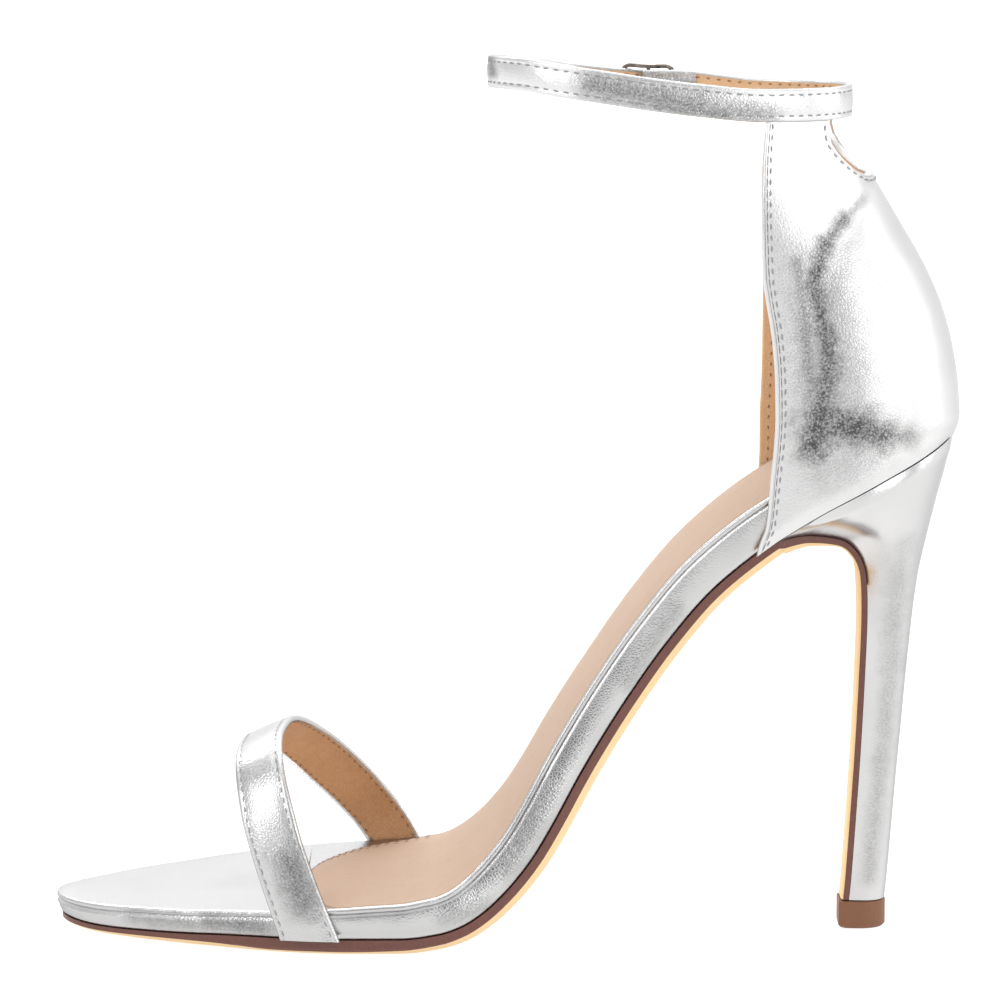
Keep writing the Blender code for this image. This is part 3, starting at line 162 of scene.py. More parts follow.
def studio_walls(bright, dark, centre, reach, softness):
    """Even bright surroundings with a soft dark area in one direction."""
    world = bpy.data.worlds.new("studio")
    world.use_nodes = True
    tree = world.node_tree
    direction = tree.nodes.new("ShaderNodeTexCoord").outputs["Generated"]
    away = tree.nodes.new("ShaderNodeVectorMath")
    away.operation = "SUBTRACT"
    tree.links.new(direction, away.inputs[0])
    away.inputs[1].default_value = centre
    squeeze = tree.nodes.new("ShaderNodeVectorMath")
    squeeze.operation = "DIVIDE"
    tree.links.new(away.outputs[0], squeeze.inputs[0])
    squeeze.inputs[1].default_value = reach
    length = tree.nodes.new("ShaderNodeVectorMath")
    length.operation = "LENGTH"
    tree.links.new(squeeze.outputs[0], length.inputs[0])
    fade = tree.nodes.new("ShaderNodeMapRange")
    fade.interpolation_type = "SMOOTHSTEP"
    fade.inputs["From Min"].default_value = 1.0 - softness
    fade.inputs["From Max"].default_value = 1.0 + softness
    fade.inputs["To Min"].default_value = dark
    fade.inputs["To Max"].default_value = bright
    tree.links.new(length.outputs["Value"], fade.inputs["Value"])
    seen = tree.nodes.new("ShaderNodeMapRange")
    tree.links.new(tree.nodes.new("ShaderNodeLightPath").outputs["Is Camera Ray"], seen.inputs["Value"])
    tree.links.new(fade.outputs["Result"], seen.inputs["To Min"])
    seen.inputs["To Max"].default_value = WALL_SEEN
    tree.links.new(seen.outputs["Result"], tree.nodes["Background"].inputs["Strength"])
    tree.nodes["Background"].inputs["Color"].default_value = (*WALL_COLOUR, 1.0)
    return world


bpy.context.scene.world = studio_walls(WALL_BRIGHT, WALL_DARK, DARK_CENTRE, DARK_REACH, DARK_SOFTNESS)
print("studio walls with one dark area")

# %% [markdown]
# ## The last
# A shoe is built on a last, the solid form of a foot. Its outline and side view are given here
# as tables, with a smooth curve through the points, so that every piece can ask for the same
# outline. The numbers are those that the solids were made with.

# %% Measures of the sandal
# Sole and footbed
SOLE_LENGTH = 0.2019        # toe tip to the back of the seat, in plan
BALL_WIDTH = 0.0720         # across the footbed at the ball
SEAT_WIDTH = 0.0490         # across the footbed at the heel seat
HEEL_RISE = 0.1095          # underside of the seat's back above the ball's underside
TOE_SPRING = 0.0024         # lift of the outsole's tip above the floor
PLATFORM_DEPTH = 0.0086     # thickness of the wrapped footbed at the arch
RIM_DEPTH = 0.0013          # wrapped insole edge that shows as a rim on the footbed's side
SOLE_CROWN = 0.0023         # how far the underside bulges below its edges
OUTSOLE_EDGE = 0.0018       # thickness of the outsole at its edge
OUTSOLE_INSET = 0.0012      # how far the outsole stands inside the footbed
FLOOR_FLAT = 0.0004         # depth worn flat off the bulge where the ball meets the floor
SEAT_CENTRE = 0.88          # share of the length where the seat starts to round
SOLE_BEVEL = 0.0037         # width of the outsole's rounded lower edge
SOCK_THICKNESS = 0.0009
SOCK_INSET = 0.0012         # silver rim left round the sock liner
SOCK_PROUD = 0.0002         # sock liner above the rim
SOCK_FRONT = 0.283          # share of the length where the sock liner starts
SOCK_NOSE_MEDIAL = 0.040    # share of the length over which its front edge is round
SOCK_NOSE_LATERAL = 0.150
CLEARANCE = 0.0003          # gap that touching pieces keep

# Heel
HEEL_LIP = 0.0009           # how far the heel's top edge stands outside the footbed
HEEL_RAKE = 0.0143          # from the heel's back edge forward to the back of its tip
BREAST_START = 0.800        # share of the length where the outsole leaves the footbed
TIP_LENGTH = 0.0083         # heel stem along the foot at the top lift
TIP_FRONT_WIDTH = 0.0094    # flat front face of the stem at the top lift
TIP_WIDTH = 0.0101
LIFT_HEIGHT = 0.0063
SEAT_TURN = 0.0004          # nearer the seat's back than this, the lip is one point
FLAP_THICKNESS = 0.0013     # outsole where it covers the front of the heel
FLAP_BULGE = 0.0005         # how far it is rounded there
FLAP_TURN = 8               # cuts over which the outsole thins to that, from the breast

# Toe strap
STRAP_WALL = 0.0016
TOE_STRAP_RISE = 0.0450     # top of the toe strap above the outsole line
TOE_STRAP_EDGE = 0.0007     # rounding of a folded strap edge
TOE_STRAP_FOOT = 0.0002     # how far the ends of the strap stay above the outsole line

# Counter and quarters
COUNTER_WALL = 0.0018
COUNTER_TUCK = 0.0009       # how far the counter curls in under the seat
TUCK_HEIGHT = 0.0038
WIDEST_HEIGHT = 0.1180      # height of the counter's widest level
QUARTER_TAPER = 0.6         # share of the footbed's narrowing that the quarters follow
CUTOUT_FLOOR = 0.1717       # height of the bottom of the back opening
CUTOUT_MEDIAL = 0.0160      # side of the back opening, from the middle of the foot
CUTOUT_LATERAL = 0.0131
CUTOUT_RADIUS = 0.0078
CUTOUT_LEAN = 0.0034        # how far its sides draw in from the corners to the strap

# Ankle strap and buckle
ANKLE_HEIGHT = 0.1845       # underside of the ankle strap at the quarters
ANKLE_LENGTH = 0.0814       # loop outside, along the foot
ANKLE_WIDTH = 0.0530        # loop outside, across the foot
ANKLE_BACK = 0.8891         # share of the sole length at the back of the loop
ANKLE_SQUARENESS = 2.3
STRAP_HEIGHT = 0.0073
STRAP_THICKNESS = 0.0016
STRAP_FRONT_LIFT = 0.0063   # front of the loop above its back
STRAP_CANT = 0.050          # medial side above the lateral side, as a slope
STRAP_SINK = 0.0008         # how far the strap is joined into the quarter's face
BUCKLE_PLACE = 0.5504       # share of the loop's length from its back to the buckle's bar
BUCKLE_LENGTH = 0.0129
BUCKLE_ROD = 0.0010
BAR_STEP = 0.0003           # how far the bar stands outside the loop's middle line
FOLD_LENGTH = 0.0108        # strap end turned back round the bar
FOLD_THICKNESS = 0.0011
FOLD_OPENING = 0.0022       # where the two layers of the fold part, behind the bar
TAIL_LENGTH = 0.0300        # free end beyond the bar
TAIL_START = 0.0050         # where the free end's own cuts start, ahead of the bar
TAIL_STEP = 0.0017          # distance between those cuts

MEDIAL = -1
LATERAL = 1

# %% Tables of the last and the straps
def table(names, *rows):
    """Rows of numbers under named columns."""
    return {name: [row[i] for row in rows] for i, name in enumerate(names.split())}


# Side view and thickness of the sole, by share of its length. rise is a share of HEEL_RISE,
# spring of TOE_SPRING, crown and arch of SOLE_CROWN, edge of OUTSOLE_EDGE, depth of
# PLATFORM_DEPTH, and lean is how far the footbed's side stands square to its slope.
SIDE = table(
    "along rise spring crown arch edge depth lean",
    (0.000, 0.000, 1.00, 0.10, 0.10, 0.55, 0.55, 0.00),
    (0.055, 0.000, 0.42, 0.40, 0.40, 0.55, 0.62, 1.00),
    (0.112, 0.000, 0.24, 0.66, 0.66, 0.62, 0.65, 1.00),
    (0.158, 0.000, 0.14, 0.80, 0.80, 0.76, 0.66, 1.00),
    (0.196, 0.000, 0.08, 0.90, 0.90, 0.92, 0.68, 1.00),
    (0.242, 0.000, 0.02, 0.97, 0.97, 1.00, 0.72, 1.00),
    (0.272, 0.000, 0.00, 1.00, 1.00, 1.00, 0.77, 1.00),
    (0.330, 0.000, 0.00, 1.00, 1.00, 1.00, 0.86, 1.00),
    (0.390, 0.000, 0.00, 1.00, 1.00, 1.00, 0.95, 1.00),
    (0.434, 0.008, 0.00, 1.00, 1.00, 1.00, 1.00, 1.00),
    (0.456, 0.021, 0.00, 1.00, 1.00, 1.00, 1.00, 1.00),
    (0.478, 0.044, 0.00, 1.00, 1.00, 1.00, 1.00, 1.00),
    (0.505, 0.087, 0.00, 1.00, 1.00, 1.00, 1.00, 1.00),
    (0.535, 0.153, 0.00, 1.00, 1.00, 1.00, 0.99, 1.00),
    (0.561, 0.231, 0.00, 1.00, 1.00, 1.00, 0.98, 1.00),
    (0.589, 0.324, 0.00, 1.00, 1.00, 1.00, 0.99, 1.00),
    (0.617, 0.409, 0.00, 1.00, 1.00, 1.00, 1.00, 1.00),
    (0.639, 0.472, 0.00, 1.00, 1.00, 1.00, 1.01, 1.00),
    (0.684, 0.590, 0.00, 1.00, 1.00, 1.00, 1.02, 1.00),
    (0.731, 0.694, 0.00, 1.00, 0.90, 1.00, 1.04, 1.00),
    (0.777, 0.769, 0.00, 1.00, 0.35, 1.00, 1.06, 1.00),
    (0.800, 0.801, 0.00, 0.95, 0.00, 1.00, 1.06, 1.00),
    (0.829, 0.836, 0.00, 0.50, 0.00, 1.00, 1.05, 0.85),
    (0.862, 0.871, 0.00, 0.00, 0.00, 1.00, 1.04, 0.60),
    (0.892, 0.900, 0.00, 0.00, 0.00, 1.00, 1.02, 0.40),
    (0.929, 0.935, 0.00, 0.00, 0.00, 1.00, 0.98, 0.20),
    (0.966, 0.968, 0.00, 0.00, 0.00, 1.00, 0.94, 0.00),
    (1.000, 1.000, 0.00, 0.00, 0.00, 1.00, 0.90, 0.00),
)

# Half widths of the footbed, by share of the length. medial and lateral are shares of
# half BALL_WIDTH, and seat is a share of half SEAT_WIDTH that is added to both.
PLAN = table(
    "along medial lateral seat",
    (0.0000, 0.000, 0.000, 0.000),
    (0.0114, 0.217, 0.203, 0.000),
    (0.0300, 0.340, 0.345, 0.000),
    (0.0550, 0.442, 0.478, 0.000),
    (0.1120, 0.617, 0.683, 0.000),
    (0.1580, 0.728, 0.817, 0.000),
    (0.1960, 0.808, 0.906, 0.000),
    (0.2420, 0.889, 0.978, 0.000),
    (0.2870, 0.944, 1.011, 0.000),
    (0.3320, 0.969, 1.025, 0.000),
    (0.3900, 0.966, 1.022, 0.000),
    (0.4360, 0.933, 1.000, 0.000),
    (0.4780, 0.893, 0.968, 0.000),
    (0.5050, 0.705, 0.770, 0.210),
    (0.5350, 0.500, 0.560, 0.440),
    (0.5610, 0.330, 0.370, 0.620),
    (0.5890, 0.200, 0.240, 0.722),
    (0.6170, 0.100, 0.140, 0.800),
    (0.6390, 0.050, 0.070, 0.845),
    (0.6840, 0.000, 0.050, 0.890),
    (0.7310, 0.000, 0.035, 0.905),
    (0.7770, 0.000, 0.012, 0.950),
    (0.8170, 0.000, 0.000, 0.985),
    (0.8800, 0.000, 0.000, 1.000),
)

# Toe strap, cut across every few millimetres from the medial end over the foot to the
# lateral end. Places are shares of the sole length, heights are shares of TOE_STRAP_RISE,
# and side runs from -1 at the medial edge of the sole to 1 at the lateral edge.
TOE_STRAP = table(
    "front_along front_up rear_along rear_up side",
    (0.2575, 0.000, 0.3235, 0.000, -1.000),
    (0.2430, 0.190, 0.3035, 0.225, -1.000),
    (0.2290, 0.380, 0.2850, 0.450, -0.985),
    (0.2165, 0.564, 0.2715, 0.656, -0.940),
    (0.2095, 0.725, 0.2620, 0.820, -0.850),
    (0.2065, 0.828, 0.2580, 0.922, -0.720),
    (0.2070, 0.882, 0.2575, 0.976, -0.540),
    (0.2105, 0.900, 0.2610, 0.997, -0.330),
    (0.2155, 0.895, 0.2680, 0.996, -0.100),
    (0.2260, 0.850, 0.2790, 0.955, 0.130),
    (0.2400, 0.776, 0.2940, 0.885, 0.330),
    (0.2590, 0.668, 0.3140, 0.786, 0.520),
    (0.2815, 0.541, 0.3370, 0.660, 0.690),
    (0.3065, 0.408, 0.3610, 0.518, 0.830),
    (0.3305, 0.262, 0.3845, 0.357, 0.970),
    (0.3500, 0.120, 0.4060, 0.185, 1.000),
    (0.3600, 0.000, 0.4200, 0.000, 1.000),
)

# Heel, cut by planes from its front face to its back. front_run and front_drop run from
# where the outsole leaves the footbed to the stem's front at the top lift, back_run and
# back_drop from the seat's back edge to the stem's back. flare and fullness are shares of
# the way from the tip's width to the seat's, and widest is where a cut is widest.
HEEL = table(
    "front_run front_drop back_run back_drop flare fullness widest",
    (0.017, -0.001, 0.000, 0.000, 0.975, 1.000, 0.400),
    (0.128, -0.005, 0.021, 0.020, 0.807, 0.985, 0.410),
    (0.294, -0.009, 0.073, 0.046, 0.690, 0.935, 0.420),
    (0.455, -0.008, 0.133, 0.079, 0.584, 0.862, 0.430),
    (0.700, 0.001, 0.210, 0.116, 0.452, 0.743, 0.440),
    (0.893, 0.016, 0.287, 0.158, 0.345, 0.610, 0.450),
    (1.027, 0.043, 0.371, 0.205, 0.274, 0.481, 0.450),
    (1.118, 0.079, 0.451, 0.252, 0.213, 0.373, 0.450),
    (1.166, 0.128, 0.521, 0.299, 0.168, 0.289, 0.450),
    (1.182, 0.240, 0.598, 0.378, 0.102, 0.170, 0.450),
    (1.160, 0.402, 0.696, 0.514, 0.061, 0.091, 0.450),
    (1.134, 0.538, 0.769, 0.631, 0.041, 0.057, 0.450),
    (1.102, 0.673, 0.836, 0.734, 0.025, 0.037, 0.450),
    (1.032, 0.918, 0.951, 0.931, 0.005, 0.007, 0.450),
    (1.000, 1.000, 1.000, 1.000, 0.000, 0.000, 0.450),
)

# Counter and quarters, by share of the way up from the widest level to the ankle strap.
# lean blends a level's outline from the seat's to the ankle loop's.
COUNTER = table(
    "up lean",
    (-0.450, 0.000),
    (-0.060, 0.000),
    (0.000, -0.012),
    (0.069, 0.000),
    (0.219, 0.055),
    (0.369, 0.165),
    (0.518, 0.341),
    (0.666, 0.569),
    (0.766, 0.722),
    (0.882, 0.875),
    (1.000, 1.000),
    (1.100, 1.000),
)

# Ankle strap, by share of the way forward along its loop. climb is a share of
# STRAP_FRONT_LIFT, and cant is a share of STRAP_CANT.
ANKLE_STRAP = table(
    "forward climb cant",
    (-0.200, 0.000, 0.300),
    (0.000, 0.000, 0.300),
    (0.092, -0.030, 0.320),
    (0.252, -0.015, 0.300),
    (0.350, 0.087, 0.220),
    (0.412, 0.180, 0.220),
    (0.559, 0.320, 0.660),
    (0.694, 0.520, 0.950),
    (0.805, 0.720, 1.000),
    (0.915, 0.940, 1.000),
    (1.000, 1.000, 1.000),
    (1.200, 1.000, 1.000),
)

# Front edges of the two quarters, as shares of the sole length.
QUARTER_FRONT = table(
    "up medial lateral",
    (-0.450, 0.7800, 0.7800),
    (-0.394, 0.7840, 0.7840),
    (-0.350, 0.7895, 0.7895),
    (-0.290, 0.7925, 0.7925),
    (-0.185, 0.7955, 0.7950),
    (-0.047, 0.7995, 0.7950),
    (0.022, 0.8004, 0.7962),
    (0.159, 0.7994, 0.7972),
    (0.296, 0.7955, 0.7975),
    (0.432, 0.7880, 0.7975),
    (0.500, 0.7850, 0.7970),
    (0.734, 0.7836, 0.7950),
    (0.862, 0.7846, 0.7968),
    (1.000, 0.7880, 0.8010),
    (1.100, 0.7880, 0.8010),
)

# %% Curves through the tables
def monotone(keys, values, at):
    """Smooth curve through a table's points that never swings past them."""
    if at <= keys[0]:
        return values[0]
    if at >= keys[-1]:
        return values[-1]
    slopes = [(values[i + 1] - values[i]) / (keys[i + 1] - keys[i]) for i in range(len(keys) - 1)]
    i = max(j for j in range(len(keys) - 1) if keys[j] <= at)

    def tangent(j):
        if j == 0 or j == len(slopes):
            return slopes[min(j, len(slopes) - 1)]
        before, after = slopes[j - 1], slopes[j]
        if before * after <= 0:
            return 0.0
        left, right = keys[j] - keys[j - 1], keys[j + 1] - keys[j]
        near, far = 2 * right + left, right + 2 * left
        return (near + far) / (near / before + far / after)

    width = keys[i + 1] - keys[i]
    t = (at - keys[i]) / width
    return (values[i] * (1 + 2 * t) * (1 - t) ** 2 + values[i + 1] * t * t * (3 - 2 * t)
            + width * (tangent(i) * t * (1 - t) ** 2 - tangent(i + 1) * t * t * (1 - t)))


def side(column, along):
    """A column of the side view at a share of the length."""
    return monotone(SIDE["along"], SIDE[column], along)


def lerp(low, high, share):
    """Value at a share of the way from low to high."""
    return low + (high - low) * share


def smooth_path(points, steps):
    """Points of a Catmull-Rom curve through the given points."""
    path = []
    last = len(points) - 1
    for i in range(last):
        p0, p1 = points[max(i - 1, 0)], points[i]
        p2, p3 = points[i + 1], points[min(i + 2, last)]
        for step in range(steps):
            t = step / steps
            path.append(0.5 * (2 * p1 + (p2 - p0) * t + (2 * p0 - 5 * p1 + 4 * p2 - p3) * t * t
                               + (3 * p1 - 3 * p2 + p3 - p0) * t ** 3))
    return path + [points[last].copy()]

# %% Shape of the sole
def feather_height(x):
    """Height of the footbed's lower edge, which follows the last from toe to seat."""
    along = min(max(x / SOLE_LENGTH, 0.0), 1.0)
    floor = side("edge", along) * OUTSOLE_EDGE + CLEARANCE - FLOOR_FLAT
    floor += side("crown", min(along, SIDE["along"][8])) * SOLE_CROWN
    return floor + side("spring", along) * TOE_SPRING + side("rise", along) * HEEL_RISE


def slope_angle(x):
    """Slope of the sole's side view at x, as an angle."""
    step = SOLE_LENGTH * 0.004
    run = min(x + step, SOLE_LENGTH) - max(x - step, 0.0)
    fall = feather_height(min(x + step, SOLE_LENGTH)) - feather_height(max(x - step, 0.0))
    return math.atan2(fall, run)


def half_width(x, hand):
    """Half width of the footbed's plan at x, on one hand."""
    centre = SEAT_CENTRE * SOLE_LENGTH
    if x <= 0 or x >= SOLE_LENGTH:
        return 0.0
    if x > centre:
        share = (x - centre) / (SOLE_LENGTH - centre)
        return 0.5 * SEAT_WIDTH * math.sqrt(max(1 - share * share, 0.0))
    root = math.sqrt(x / SOLE_LENGTH)
    roots = [math.sqrt(key) for key in PLAN["along"]]
    name = "medial" if hand == MEDIAL else "lateral"
    ball = monotone(roots, PLAN[name], root)
    seat = monotone(roots, PLAN["seat"], root)
    return 0.5 * (ball * BALL_WIDTH + seat * SEAT_WIDTH)


def plan_point(x, hand, outset):
    """Point of the plan outline at x, moved outwards square to the outline."""
    step = SOLE_LENGTH * 0.0004
    low, high = max(x - step, 0.0), min(x + step, SOLE_LENGTH)
    run = high - low
    growth = half_width(high, hand) - half_width(low, hand)
    length = math.hypot(run, growth)
    if x <= 0:
        normal = (-1.0, 0.0)
    elif x >= SOLE_LENGTH:
        normal = (1.0, 0.0)
    else:
        normal = (-growth / length, run / length)
    return (x + normal[0] * outset, hand * max(half_width(x, hand) + normal[1] * outset, 0.0))


def stations(start, end, count, round_start, round_end):
    """Places along the foot, closer together where an end is round."""
    shares = []
    for i in range(count + 1):
        t = i / count
        if round_start:
            shares.append(1 - math.cos(0.5 * math.pi * t))
        else:
            shares.append(math.sin(0.5 * math.pi * t) if round_end else t)
    return [lerp(start, end, share) for share in shares]


def across(first, second, share):
    """Point at a share of the way from one point to another."""
    return tuple(lerp(a, b, share) for a, b in zip(first, second))


def on_sole(px, py, level):
    """A point at a level above the footbed's lower edge, square to its slope there."""
    along = min(max(px / SOLE_LENGTH, 0.0), 1.0)
    angle = slope_angle(px)
    tilt = angle * side("lean", along)
    return (px - math.sin(tilt) * level, py, feather_height(px) + math.cos(tilt) * level)


def footbed_depth(x):
    """Thickness of the footbed at x."""
    return side("depth", x / SOLE_LENGTH) * PLATFORM_DEPTH

# %% Place of the last in the row's frame
seat_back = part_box("footbed")[1].x
lift_low, lift_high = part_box("top_lift")
TO_ROW = Vector((seat_back - SOLE_LENGTH, 0.5 * (lift_low.y + lift_high.y), lift_low.z))
print("last moved by", [round(c * 1000, 2) for c in TO_ROW], "mm")

# %% [markdown]
# ## Shader effects
# The silver leather is calf with a foil bonded to it. It mirrors the studio softly, the grain
# under the foil shows as fine pebbles, and where the leather was pulled over the last the foil
# is crazed; there its colour is also darkened, as painted dark reflection. The grain and these
# darker patches are node groups, so that each finish can place them with its own values.


# %% Node helpers
def new_group(name, inputs, outputs):
    """Empty shader group with named sockets."""
    group = bpy.data.node_groups.new(name, "ShaderNodeTree")
    for label, kind, value in inputs:
        socket = group.interface.new_socket(label, in_out="INPUT", socket_type=kind)
        if value is not None:
            socket.default_value = value
    for label, kind in outputs:
        group.interface.new_socket(label, in_out="OUTPUT", socket_type=kind)
    return group, group.nodes.new("NodeGroupInput"), group.nodes.new("NodeGroupOutput")


def maths(tree, operation, first, second, clamp=False):
    """Math node whose two inputs are sockets or numbers."""
    node = tree.nodes.new("ShaderNodeMath")
    node.operation = operation
    node.use_clamp = clamp
    for k, value in enumerate((first, second)):
        if isinstance(value, bpy.types.NodeSocket):
            tree.links.new(value, node.inputs[k])
        else:
            node.inputs[k].default_value = value
    return node.outputs[0]


def mix_colours(tree, factor, first, second):
    """Mix of two colours by a mask."""
    node = tree.nodes.new("ShaderNodeMix")
    node.data_type = "RGBA"
    tree.links.new(factor, node.inputs["Factor"])
    for label, value in (("A", first), ("B", second)):
        socket = [s for s in node.inputs if s.name == label and s.type == "RGBA"][0]
        if isinstance(value, bpy.types.NodeSocket):
            tree.links.new(value, socket)
        else:
            socket.default_value = (*value, 1.0)
    return [s for s in node.outputs if s.type == "RGBA"][0]


def soft_noise(tree, position, scale, detail=3.0):
    """Noise texture's value at a position."""
    node = tree.nodes.new("ShaderNodeTexNoise")
    node.inputs["Scale"].default_value = scale
    node.inputs["Detail"].default_value = detail
    tree.links.new(position, node.inputs["Vector"])
    return node.outputs["Fac"]


# %% Leather grain as a group
WARP_SCALE = 420.0
WARP_REACH = 0.0009         # how far the pebbles' pattern is bent out of its even cells
CREASE_SCALE = 260.0


def grain_group():
    """Pebbled grain: height and the dark lines between the pebbles."""
    tree, given, result = new_group(
        "leather_grain",
        [("Position", "NodeSocketVector", None), ("Scale", "NodeSocketFloat", 1500.0),
         ("Creasing", "NodeSocketFloat", 0.5)],
        [("Height", "NodeSocketFloat"), ("Valleys", "NodeSocketFloat")])
    cells = tree.nodes.new("ShaderNodeTexVoronoi")
    cells.feature = "DISTANCE_TO_EDGE"
    warp = tree.nodes.new("ShaderNodeTexNoise")
    warp.inputs["Scale"].default_value = WARP_SCALE
    tree.links.new(given.outputs["Position"], warp.inputs["Vector"])
    bend = tree.nodes.new("ShaderNodeVectorMath")
    bend.operation = "MULTIPLY_ADD"
    bend.inputs[1].default_value = (WARP_REACH, WARP_REACH, WARP_REACH)
    tree.links.new(warp.outputs["Color"], bend.inputs[0])
    tree.links.new(given.outputs["Position"], bend.inputs[2])
    tree.links.new(bend.outputs[0], cells.inputs["Vector"])
    tree.links.new(given.outputs["Scale"], cells.inputs["Scale"])
    rounded = maths(tree, "MULTIPLY", cells.outputs["Distance"], 3.0, True)
    pebbles = maths(tree, "POWER", rounded, 0.5)
    broad = soft_noise(tree, given.outputs["Position"], CREASE_SCALE, 4.0)
    folded = maths(tree, "MULTIPLY", broad, given.outputs["Creasing"])
    tree.links.new(maths(tree, "ADD", pebbles, folded), result.inputs["Height"])
    tree.links.new(maths(tree, "SUBTRACT", 1.0, pebbles), result.inputs["Valleys"])
    return tree


# %% Band of crazed foil and painted dark reflection, as a group
RAGGED_SCALE = 330.0
BAND_EDGE = 1.45            # where a band has faded out, in widths from its line
BAND_CORE = -0.10


def band_group():
    """Soft band along a line in side view, with a ragged edge."""
    tree, given, result = new_group(
        "crazed_and_reflection_band",
        [("Position", "NodeSocketVector", None), ("Start", "NodeSocketVector", None),
         ("End", "NodeSocketVector", None), ("Width", "NodeSocketFloat", 0.004),
         ("Ragged", "NodeSocketFloat", 0.9)],
        [("Mask", "NodeSocketFloat")])

    def vector(operation, first, second):
        node = tree.nodes.new("ShaderNodeVectorMath")
        node.operation = operation
        for k, value in enumerate((first, second)):
            if isinstance(value, bpy.types.NodeSocket):
                tree.links.new(value, node.inputs[k])
            elif value is not None:
                node.inputs[k].default_value = value
        return node.outputs["Value"] if operation in ("DOT_PRODUCT", "LENGTH") else node.outputs[0]

    side_view = vector("MULTIPLY", given.outputs["Position"], (1.0, 0.0, 1.0))
    start = vector("MULTIPLY", given.outputs["Start"], (1.0, 0.0, 1.0))
    along = vector("SUBTRACT", vector("MULTIPLY", given.outputs["End"], (1.0, 0.0, 1.0)), start)
    away = vector("SUBTRACT", side_view, start)
    length = vector("DOT_PRODUCT", along, along)
    share = maths(tree, "DIVIDE", vector("DOT_PRODUCT", away, along), length, True)
    scaled = tree.nodes.new("ShaderNodeVectorMath")
    scaled.operation = "SCALE"
    tree.links.new(along, scaled.inputs[0])
    tree.links.new(share, scaled.inputs["Scale"])
    distance = vector("LENGTH", vector("SUBTRACT", away, scaled.outputs[0]), None)
    reach = maths(tree, "DIVIDE", distance, given.outputs["Width"])
    rough = maths(tree, "SUBTRACT", soft_noise(tree, given.outputs["Position"], RAGGED_SCALE, 6.0), 0.5)
    ragged = maths(tree, "ADD", reach, maths(tree, "MULTIPLY", rough, given.outputs["Ragged"]))
    fade = tree.nodes.new("ShaderNodeMapRange")
    fade.interpolation_type = "SMOOTHSTEP"
    fade.inputs["From Min"].default_value = BAND_EDGE
    fade.inputs["From Max"].default_value = BAND_CORE
    tree.links.new(ragged, fade.inputs["Value"])
    tree.links.new(fade.outputs["Result"], result.inputs["Mask"])
    return tree


grain = grain_group()
crazing_and_reflection = band_group()
print("shader groups:", grain.name, crazing_and_reflection.name)


# %% Helpers of every finish
def new_finish(name):
    """Material, its node tree, its shader and the place on the piece."""
    finish = bpy.data.materials.new(name)
    finish.use_nodes = True
    tree = finish.node_tree
    place = tree.nodes.new("ShaderNodeTexCoord").outputs["Object"]
    return finish, tree, tree.nodes["Principled BSDF"], place


def pebbled(tree, place, scale, creasing):
    """The grain group, placed in a finish."""
    node = tree.nodes.new("ShaderNodeGroup")
    node.node_tree = grain
    node.inputs["Scale"].default_value = scale
    node.inputs["Creasing"].default_value = creasing
    tree.links.new(place, node.inputs["Position"])
    return node


def raise_surface(tree, height, strength, distance):
    """Bump from a height, led into the finish's shader."""
    bump = tree.nodes.new("ShaderNodeBump")
    bump.inputs["Strength"].default_value = strength
    bump.inputs["Distance"].default_value = distance
    tree.links.new(height, bump.inputs["Height"])
    tree.links.new(bump.outputs["Normal"], tree.nodes["Principled BSDF"].inputs["Normal"])


# %% [markdown]
# ## Silver leather
# One recipe serves the wrap, the straps, the counter and the heel. Each has its own list of
# crazed bands, at the places where the leather is drawn tight or pressed, and its own grain.
# A band's dark colour is partly crazed foil and partly painted dark reflection.
# A band is a row of two points in side view, each as X and Z, then its width and its strength.
# Only upright leather shows it, and some finishes also darken all upright faces as painted shade.


# %% Silver leather
FOIL = (0.70, 0.695, 0.69)          # the foil seen straight on
FOIL_EDGE = (0.55, 0.55, 0.56)      # and at a glancing angle
CRAZED_AND_REFLECTION_SHARE = 0.14                 # brightness left where the foil is crazed and a dark reflection is painted
SPECK_SCALE = 1900.0
CLOUD_SCALE = 45.0
SILVER_CREASING = 0.8
GRAIN_HEIGHT = 0.0002
FLAT_FADE = 1.6                     # how fast a face loses its bands as it lies flat
HAZE = 0.35
LINE_DARKNESS = 0.35                # of the valleys between pebbles
BAND_ROUGHNESS = 0.16               # added where the foil is crazed
CLOUD_ROUGHNESS = 0.08


